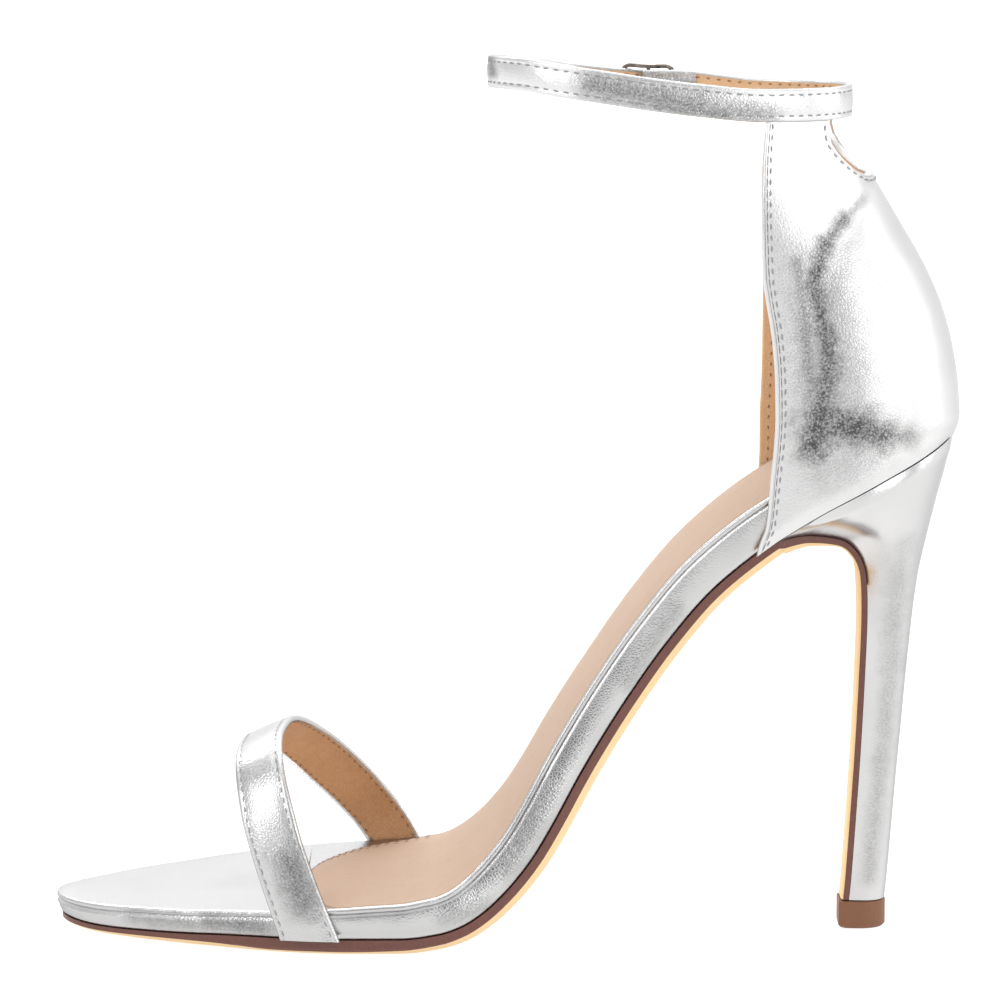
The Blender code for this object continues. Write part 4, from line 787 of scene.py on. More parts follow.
def silver_leather(name, bands, grain_scale, grain_depth, roughness, painted_side_shade=0.0):
    """Foiled leather with pebbled grain, darker crazed patches with painted dark reflection, and painted
    shade on upright faces.
    """
    finish, tree, shader, place = new_finish(name)
    pebbles = pebbled(tree, place, grain_scale, SILVER_CREASING)
    split = tree.nodes.new("ShaderNodeSeparateXYZ")
    tree.links.new(tree.nodes.new("ShaderNodeNewGeometry").outputs["Normal"], split.inputs[0])
    flatness = maths(tree, "MULTIPLY", split.outputs["Z"], split.outputs["Z"])
    upright = maths(tree, "SUBTRACT", 1.0, maths(tree, "MULTIPLY", flatness, FLAT_FADE), True)
    mask = None
    for start, end, width, strength in bands:
        band = tree.nodes.new("ShaderNodeGroup")
        band.node_tree = crazing_and_reflection
        band.inputs["Start"].default_value = (start[0], 0.0, start[1])
        band.inputs["End"].default_value = (end[0], 0.0, end[1])
        band.inputs["Width"].default_value = width
        tree.links.new(place, band.inputs["Position"])
        # A band counts only on upright faces, which mirror the studio's dark area: partly crazed foil, partly
        # painted dark reflection.
        one = maths(tree, "MULTIPLY", maths(tree, "MULTIPLY", band.outputs["Mask"], upright), strength)
        mask = one if mask is None else maths(tree, "MAXIMUM", mask, one)
    clouds = soft_noise(tree, place, CLOUD_SCALE, 2.0)
    haze = maths(tree, "MULTIPLY", maths(tree, "SUBTRACT", clouds, 0.5), HAZE, True)
    # The band's dark colour stands for crazed foil and for painted dark reflection.
    crazed = tuple(CRAZED_AND_REFLECTION_SHARE * c for c in FOIL)
    # Fine specks leave lighter points inside a band, as painted glints.
    fine = maths(tree, "MULTIPLY", soft_noise(tree, place, SPECK_SCALE, 3.0), 3.6)
    glint_specks = maths(tree, "SUBTRACT", fine, 1.3, True)
    soft = maths(tree, "MULTIPLY", mask, maths(tree, "ADD", maths(tree, "MULTIPLY", glint_specks, 0.45), 0.55))
    lines = maths(tree, "MULTIPLY", pebbles.outputs["Valleys"], maths(tree, "ADD", mask, 0.04))
    worn = maths(tree, "ADD", maths(tree, "MULTIPLY", lines, LINE_DARKNESS), soft)
    # Upright faces are darkened evenly by the side value, as painted shade; the haze is random cloudy tone.
    haze_and_side_shade = maths(tree, "ADD", haze, maths(tree, "MULTIPLY", upright, painted_side_shade))
    colour = mix_colours(tree, maths(tree, "ADD", worn, haze_and_side_shade, True), FOIL, crazed)
    tree.links.new(colour, shader.inputs["Base Color"])
    rough = maths(tree, "ADD", maths(tree, "MULTIPLY", mask, BAND_ROUGHNESS), roughness)
    uneven = maths(tree, "ADD", rough, maths(tree, "MULTIPLY", clouds, CLOUD_ROUGHNESS))
    tree.links.new(uneven, shader.inputs["Roughness"])
    shader.inputs["Metallic"].default_value = 1.0
    shader.inputs["Specular Tint"].default_value = (*FOIL_EDGE, 1.0)
    height = maths(tree, "MULTIPLY", pebbles.outputs["Height"], maths(tree, "ADD", mask, 0.22))
    raise_surface(tree, height, grain_depth, GRAIN_HEIGHT)
    return finish


# %% Silver finishes
# Each finish lists its bands; its side value is painted shade on upright faces.
silver_wrap = silver_leather("silver_wrap", [
    ((-0.0830, 0.0070), (-0.0700, 0.0060), 0.0035, 0.35),
    ((-0.0660, 0.0070), (-0.0540, 0.0060), 0.0042, 0.50),
    ((-0.0130, 0.0090), (-0.0050, 0.0110), 0.0030, 0.22),
    ((0.0000, 0.0200), (0.0090, 0.0360), 0.0040, 0.30),
    ((0.0270, 0.0600), (0.0380, 0.0760), 0.0026, 0.25),
], grain_scale=1500.0, grain_depth=0.55, roughness=0.19, painted_side_shade=0.27)
silver_strap = silver_leather("silver_strap", [
    ((-0.0480, 0.0220), (-0.0445, 0.0130), 0.0050, 0.52),
    ((-0.0590, 0.0395), (-0.0520, 0.0425), 0.0032, 0.45),
], grain_scale=1500.0, grain_depth=0.55, roughness=0.20, painted_side_shade=0.26)
silver_upper = silver_leather("silver_upper", [
    ((0.0791, 0.1671), (0.0746, 0.1632), 0.0016, 0.55),
    ((0.0746, 0.1632), (0.0703, 0.1581), 0.0025, 0.80),
    ((0.0703, 0.1581), (0.0676, 0.1500), 0.0032, 0.90),
    ((0.0676, 0.1500), (0.0699, 0.1402), 0.0037, 0.88),
    ((0.0699, 0.1402), (0.0711, 0.1325), 0.0046, 0.88),
    ((0.0711, 0.1325), (0.0695, 0.1220), 0.0053, 0.85),
    ((0.0695, 0.1220), (0.0680, 0.1135), 0.0055, 0.98),
    ((0.0700, 0.1190), (0.0776, 0.1175), 0.0068, 0.95),
    ((0.0776, 0.1172), (0.0830, 0.1160), 0.0054, 0.85),
    ((0.0830, 0.1160), (0.0890, 0.1154), 0.0034, 0.60),
    ((0.0638, 0.1543), (0.0657, 0.1426), 0.0025, 0.60),
    ((0.0657, 0.1426), (0.0675, 0.1246), 0.0036, 0.65),
    ((0.0680, 0.1500), (0.0700, 0.1260), 0.0080, 0.55),
    ((0.0715, 0.1530), (0.0740, 0.1290), 0.0090, 0.35),
    ((0.0640, 0.1205), (0.0632, 0.1190), 0.0025, 0.45),
    ((0.0700, 0.1080), (0.0820, 0.1140), 0.0065, 0.28),
], grain_scale=1350.0, grain_depth=0.55, roughness=0.34)
silver_ankle = silver_leather("silver_ankle", [
    ((0.0190, 0.1930), (0.0420, 0.1885), 0.0044, 0.70),
    ((0.0340, 0.1885), (0.0480, 0.1865), 0.0034, 0.72),
    ((0.0480, 0.1870), (0.0580, 0.1865), 0.0034, 0.55),
    ((-0.0034, 0.1985), (-0.0030, 0.1945), 0.0014, 0.70),
], grain_scale=1500.0, grain_depth=0.60, roughness=0.22)
silver_heel = silver_leather("silver_heel", [
    ((0.0885, 0.0900), (0.0872, 0.0600), 0.0034, 0.26),
    ((0.0872, 0.0600), (0.0826, 0.0120), 0.0026, 0.26),
    ((0.0800, 0.0950), (0.0860, 0.0860), 0.0034, 0.20),
], grain_scale=1600.0, grain_depth=0.30, roughness=0.16, painted_side_shade=0.17)
print("silver finishes made")

# %% [markdown]
# ## Plain leathers, rubber, thread and metal
# The lining and the sock are undyed suede-backed leather, matte with fine pores. The sole is
# vegetable leather with a stained edge. The thread is silver grey, or tan on the lining. Each
# finish is the same recipe with its own colour, deeper colour, roughness and pores.


# %% Plain leather
PLAIN_CREASING = 1.4
PLAIN_GLOSS = 0.35
PORE_HEIGHT = 0.00012
PATCH_SCALE, MOTTLE_SCALE, FIBRE_SCALE = 60.0, 420.0, 1400.0


def plain_leather(name, colour, deep, roughness, pore_scale, depth):
    """Leather without foil: mottled colour, pores and a matte surface."""
    finish, tree, shader, place = new_finish(name)
    pebbles = pebbled(tree, place, pore_scale, PLAIN_CREASING)
    clouds = maths(tree, "MULTIPLY", soft_noise(tree, place, PATCH_SCALE, 5.0), 0.3)
    spots = maths(tree, "MULTIPLY", soft_noise(tree, place, MOTTLE_SCALE, 3.0), 0.35)
    mottle = maths(tree, "ADD", clouds, spots)
    fibre = maths(tree, "MULTIPLY", soft_noise(tree, place, FIBRE_SCALE, 2.0), 0.35)
    mask = maths(tree, "ADD", maths(tree, "ADD", mottle, fibre),
                 maths(tree, "MULTIPLY", pebbles.outputs["Valleys"], 0.25), True)
    tree.links.new(mix_colours(tree, mask, colour, deep), shader.inputs["Base Color"])
    shader.inputs["Roughness"].default_value = roughness
    shader.inputs["Specular IOR Level"].default_value = PLAIN_GLOSS
    raise_surface(tree, pebbles.outputs["Height"], depth, PORE_HEIGHT)
    return finish


# %% Plain finishes
sock_leather = plain_leather("sock_leather", (0.525, 0.385, 0.285), (0.42, 0.29, 0.205), 0.70, 2200.0, 0.35)
strap_lining = plain_leather("strap_lining", (0.76, 0.46, 0.255), (0.50, 0.26, 0.125), 0.82, 1500.0, 0.80)
quarter_lining = plain_leather("quarter_lining", (0.82, 0.57, 0.355), (0.64, 0.40, 0.225), 0.80, 1700.0, 0.60)
edge_leather = plain_leather("edge_leather", (0.190, 0.078, 0.060), (0.105, 0.042, 0.032), 0.45, 900.0, 0.25)
sole_face = plain_leather("sole_face", (0.86, 0.64, 0.36), (0.74, 0.50, 0.26), 0.55, 1500.0, 0.20)
lift_rubber = plain_leather("lift_rubber", (0.225, 0.100, 0.052), (0.16, 0.068, 0.034), 0.55, 1200.0, 0.15)
thread = plain_leather("silver_thread", (0.40, 0.40, 0.41), (0.22, 0.22, 0.23), 0.60, 5000.0, 0.40)
# A dark strip of the same recipe, painted shadow along the quarters' folded edges.
painted_fold_shadow = plain_leather("painted_fold_shadow", (0.20, 0.20, 0.205), (0.10, 0.10, 0.105), 0.60, 5000.0, 0.40)
thread_tan = plain_leather("tan_thread", (0.42, 0.26, 0.15), (0.22, 0.12, 0.07), 0.70, 5000.0, 0.40)
print("plain finishes made")


# %% Dark nickel
WEAR_SCALE = 700.0
RUBBED_SHARE = 0.6
POLISH, WORN_ROUGHNESS = 0.12, 0.2


def dark_nickel(name, colour):
    """Polished dark metal with faint wear, for the buckle."""
    finish, tree, shader, place = new_finish(name)
    worn = soft_noise(tree, place, WEAR_SCALE, 4.0)
    rubbed = mix_colours(tree, worn, colour, tuple(RUBBED_SHARE * c for c in colour))
    tree.links.new(rubbed, shader.inputs["Base Color"])
    uneven = maths(tree, "ADD", maths(tree, "MULTIPLY", worn, WORN_ROUGHNESS), POLISH)
    tree.links.new(uneven, shader.inputs["Roughness"])
    shader.inputs["Metallic"].default_value = 1.0
    return finish


nickel = dark_nickel("dark_nickel", (0.22, 0.185, 0.16))
print("metal finish:", nickel.name)

# %% [markdown]
# ## Lofts
# Every leather piece is a strip or slab that changes shape as it goes, so it is built as rings
# of points that are joined by quads. A smooth curve through the same point of each ring gives
# more rings, and the inside of a strap gets its own finish by the ring's side.


# %% Loft helpers
WELD = 2e-6                 # points nearer than this are one
LEAST_EDGE = 1e-7


def dense(rings, steps):
    """More rings on smooth curves through the points of the given rings."""
    columns = [smooth_path([Vector(ring[k]) for ring in rings], steps) for k in range(len(rings[0]))]
    return [[column[i] for column in columns] for i in range(len(columns[0]))]


def loft(name, rings, finishes, slots=None, cap_first=True, cap_last=True, sharp=55):
    """Closed mesh through rings of points; slots gives the finish of each side of a ring."""
    cells = bmesh.new()
    loops = [[cells.verts.new(Vector(point) + TO_ROW) for point in ring] for ring in rings]
    count = len(loops[0])
    for first, second in zip(loops, loops[1:]):
        for k in range(count):
            following = (k + 1) % count
            face = cells.faces.new((first[k], first[following], second[following], second[k]))
            face.material_index = slots[k] if slots else 0
    for wanted, loop in ((cap_first, loops[0]), (cap_last, loops[-1])):
        if wanted:
            cells.faces.new(loop)
    return finish_mesh(name, cells, finishes, sharp)


def finish_mesh(name, cells, finishes, sharp):
    """Object from a bmesh, welded, facing outwards and shaded smooth."""
    bmesh.ops.remove_doubles(cells, verts=cells.verts, dist=WELD)
    bmesh.ops.dissolve_degenerate(cells, dist=LEAST_EDGE, edges=cells.edges)
    bmesh.ops.recalc_face_normals(cells, faces=cells.faces)
    mesh = bpy.data.meshes.new(name)
    cells.to_mesh(mesh)
    cells.free()
    mesh.shade_smooth()
    mesh.set_sharp_from_angle(angle=math.radians(sharp))
    for finish in finishes:
        mesh.materials.append(finish)
    piece = bpy.data.objects.new(name, mesh)
    bpy.context.scene.collection.objects.link(piece)
    print(name, len(mesh.polygons), "faces")
    return piece


def settle(piece, node):
    """The piece stands for a CAD node, whose solid is hidden, and rides with the body."""
    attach(piece, "root")
    if node:
        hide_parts(node)


# %% [markdown]
# ## Footbed and sock liner
# The footbed is a shaped board with foam on it, wrapped in the silver leather. Its top edge is
# a soft bead, with a fine step below where the wrap of the insole ends. The tan sock is glued
# inside the bead, and its front edge is cut round and stitched.


# %% Footbed
def sock_point(x, hand, inset):
    """Plan point of the sock liner's edge, which is round at its front."""
    front = SOCK_FRONT * SOLE_LENGTH + min(inset, 0.0)
    nose = (SOCK_NOSE_MEDIAL if hand == MEDIAL else SOCK_NOSE_LATERAL) * SOLE_LENGTH - min(inset, 0.0)
    if x >= front + nose:
        return plan_point(x, hand, -SOCK_INSET - inset)
    swell = math.sqrt(max(1 - ((front + nose - x) / nose) ** 2, 0.0))
    px, py = plan_point(x, hand, -SOCK_INSET - inset)
    return (lerp(x, px, swell), py * swell)

def rim_profile(x):
    """Inset and level down the footbed's side: bead, step and wrapped wall."""
    depth = footbed_depth(x)
    bead = RIM_DEPTH
    return ((0.00085, depth + 0.00002), (0.0005, depth), (0.0002, depth - 0.00018), (0.00003, depth - 0.0005),
            (0.00004, depth - 0.0009), (0.0003, depth - bead + 0.00003), (0.00062, depth - bead - 0.00012),
            (0.00055, depth - bead - 0.0003), (0.0003, depth - bead - 0.00055),
            (0.00018, depth - bead - 0.0011),
            (0.00016, 0.52 * depth), (0.0002, 0.0026), (0.0005, 0.0014), (0.0009, 0.0006), (0.0015, 0.0))


def sole_ring(x, profile, top):
    """Ring round the slab at x: down the medial side, below, up the lateral side and over."""
    medial = [(*plan_point(x, MEDIAL, -inset), level) for inset, level in profile(x)]
    lateral = [(*plan_point(x, LATERAL, -inset), level) for inset, level in profile(x)]
    ring = medial + [across(medial[-1], lateral[-1], s) for s in (0.25, 0.5, 0.75)]
    ring += reversed(lateral)
    ring += top(x, medial[0], lateral[0])
    return [on_sole(px, py, level) for px, py, level in ring]


def pocket(x, medial, lateral):
    """Points over the footbed's top, which is hollow where the sock lies."""
    front = SOCK_FRONT * SOLE_LENGTH - CLEARANCE
    if x < front:
        points = [across(lateral, medial, s) for s in (0.0, 0.03, 0.25, 0.5, 0.75, 0.97, 1.0)]
        return [(px, py, level + 0.0003 * (1 - ((2 * s - 1) ** 2)))
                for (px, py, level), s in zip(points, (0.0, 0.03, 0.25, 0.5, 0.75, 0.97, 1.0))]
    low_m, low_l = sock_point(x, MEDIAL, -CLEARANCE), sock_point(x, LATERAL, -CLEARANCE)
    level = medial[2]
    floor = level - SOCK_THICKNESS + SOCK_PROUD - CLEARANCE
    floor = floor if low_l[1] - low_m[1] > CLEARANCE else level
    return [(*low_l, level), (*low_l, floor), (*across(low_l, low_m, 0.25), floor),
            (*across(low_l, low_m, 0.5), floor), (*across(low_l, low_m, 0.75), floor),
            (*low_m, floor), (*low_m, level)]


def sole_places(front_count, turn_count, waist_count, seat_count):
    """Places from toe to seat, closest where the outline turns."""
    front = SOCK_FRONT * SOLE_LENGTH
    nose = SOCK_NOSE_MEDIAL * SOLE_LENGTH
    seat = SEAT_CENTRE * SOLE_LENGTH
    toe = stations(0.0, front - CLEARANCE, front_count, True, False)
    turn = stations(front, front + nose, turn_count, True, False)
    rest = stations(front + nose, seat, waist_count, False, False)
    back = stations(seat, SOLE_LENGTH, seat_count, False, True)
    return toe, turn[:-1] + rest[:-1] + back


toe_places, sock_places = sole_places(36, 14, 80, 26)
footbed_wrap = loft("footbed_wrap", [sole_ring(x, rim_profile, pocket) for x in toe_places + sock_places],
                    [silver_wrap], cap_first=False, cap_last=False)
settle(footbed_wrap, "footbed")


# %% Sock liner
def sock_ring(x):
    """Ring of the sock at x, with a soft cut edge and a slightly padded top."""
    low = footbed_depth(x) + SOCK_PROUD - SOCK_THICKNESS
    top = SOCK_THICKNESS
    edge = ((0.0011, top), (0.0005, top - 0.00005), (0.00015, top - 0.0002), (0.0, top - 0.00045), (0.0, 0.0))
    medial = [(*sock_point(x, MEDIAL, inset), low + level) for inset, level in edge]
    lateral = [(*sock_point(x, LATERAL, inset), low + level) for inset, level in edge]
    ring = medial + [across(medial[-1], lateral[-1], 0.5)] + lateral[::-1]
    width = lateral[0][1] - medial[0][1]
    pad = 0.0007 * min(width / 0.03, 1.0)
    for share in (0.88, 0.70, 0.50, 0.30, 0.12):
        px, py, level = across(medial[0], lateral[0], share)
        ring.append((px, py, level + pad * (1 - (2 * share - 1) ** 4)))
    return [on_sole(px, py, level) for px, py, level in ring]


sock = loft("sock", [sock_ring(x) for x in sock_places], [sock_leather], cap_first=False, cap_last=False,
            sharp=80)
settle(sock, "sock_liner")

# %% [markdown]
# ## Outsole
# The outsole is cut from sole leather. Its edge is stained brown and its rounded lower face is
# left tan, so each ring's sides carry one of two finishes. It turns down the heel's front.


# %% Sides of the outsole and planes of the heel
def outsole_side(thickness, crown):
    """Inset and level down the outsole's edge and its rounded lower corner."""
    bevel = SOLE_BEVEL * min(crown / SOLE_CROWN, 1.0)
    return ((0.0, 0.0), (0.0, -thickness), (0.32 * bevel, -thickness - 0.52 * crown),
            (bevel, -thickness - 0.90 * crown))


def heel_front(row):
    """Front point of a heel cut: X, Z and half width."""
    start_x = BREAST_START * SOLE_LENGTH
    start_z = feather_height(start_x) - CLEARANCE
    end_x = SOLE_LENGTH + HEEL_LIP - HEEL_RAKE - TIP_LENGTH
    end_z = LIFT_HEIGHT + CLEARANCE
    return (lerp(start_x, end_x, HEEL["front_run"][row]),
            lerp(start_z, end_z, HEEL["front_drop"][row]),
            0.5 * lerp(TIP_FRONT_WIDTH, SEAT_WIDTH, HEEL["flare"][row]))


def heel_back(row):
    """Back point of a heel cut: X, Z and half width at its widest."""
    start_x = SOLE_LENGTH + HEEL_LIP
    start_z = feather_height(SOLE_LENGTH) - CLEARANCE
    return (start_x - HEEL_RAKE * HEEL["back_run"][row],
            lerp(start_z, LIFT_HEIGHT + CLEARANCE, HEEL["back_drop"][row]),
            0.5 * lerp(TIP_WIDTH, SEAT_WIDTH + 2 * HEEL_LIP, HEEL["fullness"][row]))


def heel_half_width(share, front_half, full_half, widest):
    """Half width of a heel cut: flat front, swelling sides, round back."""
    if share < widest:
        return lerp(front_half, full_half, math.sin(0.5 * math.pi * share / widest))
    return full_half * math.sqrt(max(1 - ((share - widest) / (1 - widest)) ** 2, 0.0))


# %% Stain of the outsole's edge
EDGE, FACE = 0, 1
EDGE_GAP = 0.00008          # outsole below the wrap, close enough to look glued
TOE_RINGS, ARCH_RINGS, FLAP_STEPS = 40, 70, 5

# Share of the rounded lower corner that the brown stain covers, along the sole.
STAIN = table(
    "along share",
    (0.00, 0.05), (0.15, 0.10), (0.20, 0.45), (0.25, 0.90),
    (0.34, 0.90), (0.42, 0.45), (0.50, 0.10), (1.00, 0.05))


def stained_side(x, thickness, crown):
    """The outsole's side profile with a point where the brown stain ends."""
    points = outsole_side(thickness, crown)
    share = monotone(STAIN["along"], STAIN["share"], min(x / SOLE_LENGTH, 1.0))
    return [points[0], points[1], across(points[1], points[2], share), points[2], points[3]]


# %% Outsole
def outsole_rings():
    """Rings under the footbed, then down the front of the heel."""
    rings = []
    ball = SOCK_FRONT * SOLE_LENGTH
    breast = BREAST_START * SOLE_LENGTH

    def profile(x):
        along = x / SOLE_LENGTH
        sides = stained_side(x, side("edge", along) * OUTSOLE_EDGE, side("crown", along) * SOLE_CROWN)
        return [(OUTSOLE_INSET + inset, level - EDGE_GAP) for inset, level in sides]

    toe_places = stations(0.0, ball, TOE_RINGS, True, False)[:-1]
    for x in toe_places + stations(ball, breast, ARCH_RINGS, False, False):
        sides = profile(x)
        medial = [(*plan_point(x, MEDIAL, -inset), level) for inset, level in sides]
        lateral = [(*plan_point(x, LATERAL, -inset), level) for inset, level in sides]
        crown = side("crown", x / SOLE_LENGTH) * SOLE_CROWN
        arch = side("arch", x / SOLE_LENGTH) * SOLE_CROWN
        ring = list(medial)
        for share in (0.2, 0.5, 0.8):
            px, py, level = across(medial[-1], lateral[-1], share)
            ring.append((px, py, level - 0.1 * crown * (1 - (2 * share - 1) ** 2)))
        ring += reversed(lateral)
        for share in (0.8, 0.5, 0.2):
            px, py, level = across(medial[0], lateral[0], share)
            ring.append((px, py, level - arch * (1 - (2 * share - 1) ** 2)))
        placed = [on_sole(px, py, level) for px, py, level in ring]
        rings.append([(px, py, max(pz, 0.0)) for px, py, pz in placed])
    path = smooth_path([Vector(heel_front(row)) for row in range(1, len(HEEL["widest"]))], FLAP_STEPS)
    last = len(path) - 1
    for i, point in enumerate(path):
        ahead = path[min(i + 1, last)] - path[max(i - 1, 0)]
        out = Vector((ahead.y, 0.0, -ahead.x)).normalized()
        share = min((i + 1) / (2.5 * FLAP_TURN), 1.0)
        thickness = lerp(OUTSOLE_EDGE, FLAP_THICKNESS, share)
        crown = lerp(side("crown", BREAST_START) * SOLE_CROWN, FLAP_BULGE, share)
        half = point.z
        sides = stained_side(SOLE_LENGTH, thickness, crown)
        ring = [(inset - half, level) for inset, level in sides]
        low = half - sides[-1][0]
        for place in (-0.6, 0.0, 0.6):
            ring.append((place * low, sides[-1][1] - 0.1 * crown * (1 - place * place)))
        ring += [(half - inset, level) for inset, level in reversed(sides)]
        ring += [(0.6 * half, 0.0), (0.0, 0.0), (-0.6 * half, 0.0)]
        rings.append([(point.x + out.x * (EDGE_GAP - level), y, point.y + out.z * (EDGE_GAP - level))
                      for y, level in ring])
    return rings


outsole_slots = [EDGE] * 2 + [FACE] * 8 + [EDGE] * 6
outsole = loft("outsole_leather", outsole_rings(), [edge_leather, sole_face], outsole_slots, cap_first=False,
               sharp=60)
settle(outsole, "outsole")


# %% [markdown]
# ## Heel and top lift
# The heel is a moulded stem covered with the same leather, flared at the top to the seat. It
# is cut across by planes, flat in front and round behind. The top lift is a small block.


# %% Heel
def heel_ring(row, fronts=7, backs=16):
    """Ring of the heel at a row of its table."""
    front_x, front_z, front_half = heel_front(row)
    back_x, back_z, full_half = heel_back(row)
    widest = HEEL["widest"][row]
    shares = [widest * i / fronts for i in range(fronts)]
    shares += [lerp(widest, 1.0, math.sin(0.5 * math.pi * i / backs)) for i in range(backs + 1)]
    half = []
    for share in shares:
        x = lerp(front_x, back_x, share)
        if row == 0:
            top_x, y = plan_point(min(x, SOLE_LENGTH), LATERAL, HEEL_LIP)
            if x > SOLE_LENGTH - SEAT_TURN:
                top_x, y = SOLE_LENGTH + HEEL_LIP, 0.0
            half.append((top_x, y, feather_height(top_x) - CLEARANCE))
        else:
            y = heel_half_width(share, front_half, full_half, widest)
            half.append((x, y, lerp(front_z, back_z, share)))
    return [(x, -y, z) for x, y, z in half] + [(x, y, z) for x, y, z in reversed(half)]


heel = loft("heel_cover", dense([heel_ring(row) for row in range(len(HEEL["widest"]))], 6), [silver_heel],
            sharp=50)
settle(heel, "heel")

# %% Top lift
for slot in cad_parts["top_lift"].material_slots:
    slot.material = lift_rubber
print("top lift", round((lift_high.z - lift_low.z) * 1000, 1), "mm high")

# %% [markdown]
# ## Toe strap
# The strap is silver leather folded over a tan lining at both edges. It rises slanted over the
# toes and comes down further back on the lateral side. Its ring has the folded edges, and the
# lining lies inside them.


# %% Edges of the toe strap
def toe_strap_point(name, row):
    """Outer edge point of the toe strap at a row of its table."""
    x = TOE_STRAP[name + "_along"][row] * SOLE_LENGTH
    share = TOE_STRAP["side"][row]
    hand = MEDIAL if share < 0 else LATERAL
    outside = STRAP_WALL + CLEARANCE
    reach = half_width(x, hand) + outside
    centre = 0.5 * (half_width(x, LATERAL) - half_width(x, MEDIAL))
    spread = 0.5 * (half_width(x, LATERAL) + half_width(x, MEDIAL)) + outside
    y = hand * reach if abs(share) == 1 else centre + share * spread
    z = feather_height(x) + TOE_STRAP_FOOT + TOE_STRAP[name + "_up"][row] * TOE_STRAP_RISE
    return Vector((x, y, z))


# %% Folded strip
SILVER, LINING = 0, 1
STITCH_INSET = 0.00135
GROOVE_DEPTH = 0.00014
GROOVE_WIDTH = 0.0007
STRIP_SLOTS = [SILVER] * 17 + [LINING] * 2 + [SILVER] * 7


def strip_profile(width, wall, edge):
    """Run and depth round a folded strip: outside with its stitch grooves, folds and lining."""
    seam, deep = min(STITCH_INSET, 0.3 * width), GROOVE_DEPTH
    lip = 0.5 * GROOVE_WIDTH
    outside = ((edge, 0.00002), (seam - lip, 0.0), (seam, deep), (seam + lip, 0.00002),
               (0.32 * width, -0.0001), (0.5 * width, -0.00016))
    fold = ((0.45 * edge, 0.0001), (0.1 * edge, 0.25 * wall), (0.0, 0.5 * wall), (0.1 * edge, 0.78 * wall),
            (0.5 * edge, 0.95 * wall), (1.1 * edge, wall), (1.25 * edge, wall - 0.00012))
    far = [(width - run, depth) for run, depth in outside[-2::-1] + fold]
    return list(outside) + far + [(0.5 * width, wall - 0.00012)] + list(fold[::-1])


print("a folded strip has", len(STRIP_SLOTS), "sides")


# %% Toe strap
def toe_strap_frames():
    """Front edge point, rear edge point and inward direction along the toe strap."""
    rows = range(len(TOE_STRAP["side"]))
    front = smooth_path([toe_strap_point("front", row) for row in rows], 8)
    rear = smooth_path([toe_strap_point("rear", row) for row in rows], 8)
    last = len(front) - 1
    frames = []
    for i, (a, b) in enumerate(zip(front, rear)):
        over = (b - a).normalized()
        before, after = max(i - 1, 0), min(i + 1, last)
        ahead = front[after] - front[before] + rear[after] - rear[before]
        frames.append((a, b, ahead.cross(over).normalized()))
    return frames


toe_frames = toe_strap_frames()
toe_rings = []
for a, b, inward in toe_frames:
    over = (b - a).normalized()
    profile = strip_profile((b - a).length, STRAP_WALL, TOE_STRAP_EDGE)
    toe_rings.append([a + over * run + inward * depth for run, depth in profile])
toe_strap = loft("toe_strap_leather", toe_rings, [silver_strap, strap_lining], STRIP_SLOTS, sharp=60)
settle(toe_strap, "toe_strap")

# %% [markdown]
# ## Counter and quarters
# The counter is one wall of leather bent round the heel, with its two quarters standing up to
# the ankle strap. Its top back edge is cut out round. The wall is a grid of points on the
# outside and the inside, and the opening is cut with a Boolean, as scissors would.


# %% Outline of the counter
def ankle_centre():
    """Middle of the ankle loop along the foot."""
    return ANKLE_BACK * SOLE_LENGTH - 0.5 * ANKLE_LENGTH


def level_outline(z, hand, outset):
    """Half outline of the counter at a height, from the back to the quarter's front."""
    up = (z - WIDEST_HEIGHT) / (ANKLE_HEIGHT - WIDEST_HEIGHT)
    lean = monotone(COUNTER["up"], COUNTER["lean"], up)
    seat_x = SEAT_CENTRE * SOLE_LENGTH
    seat_out = CLEARANCE + COUNTER_WALL
    inset = STRAP_THICKNESS - STRAP_SINK
    centre = lerp(seat_x, ankle_centre(), lean)
    back = lerp(SOLE_LENGTH + seat_out, ANKLE_BACK * SOLE_LENGTH - inset, lean)
    half = lerp(0.5 * SEAT_WIDTH + seat_out, 0.5 * ANKLE_WIDTH - inset, lean)
    power = lerp(2.0, ANKLE_SQUARENESS, lean)
    edge = QUARTER_FRONT["medial" if hand == MEDIAL else "lateral"]
    front = monotone(QUARTER_FRONT["up"], edge, up) * SOLE_LENGTH
    reach, half = back - centre + outset, half + outset
    points = []
    turns = 48
    for i in range(turns + 1):
        angle = 0.5 * math.pi * i / turns
        x = centre + reach * math.cos(angle) ** (2 / power)
        y = half * math.sin(angle) ** (2 / power)
        if x < front:
            last_x, last_y = points[-1]
            share = (last_x - front) / (last_x - x)
            points.append((front, lerp(last_y, y, share)))
            return points
        points.append((x, y))
    for i in range(1, 5):
        x = lerp(centre, front, i / 4)
        narrowing = QUARTER_TAPER * (0.5 * SEAT_WIDTH - half_width(x, hand))
        points.append((x, half - narrowing * max(1 - max(lean, 0.0) * 4, 0.0)))
    return points


def at_share(points, share):
    """Point at a share of a polyline's length."""
    lengths = [0.0]
    for first, second in zip(points, points[1:]):
        lengths.append(lengths[-1] + math.hypot(second[0] - first[0], second[1] - first[1]))
    goal = share * lengths[-1]
    for i in range(1, len(points)):
        if lengths[i] >= goal or i == len(points) - 1:
            step = lengths[i] - lengths[i - 1]
            part = (goal - lengths[i - 1]) / step if step else 0.0
            before, after = points[i - 1], points[i]
            return (lerp(before[0], after[0], part), lerp(before[1], after[1], part))


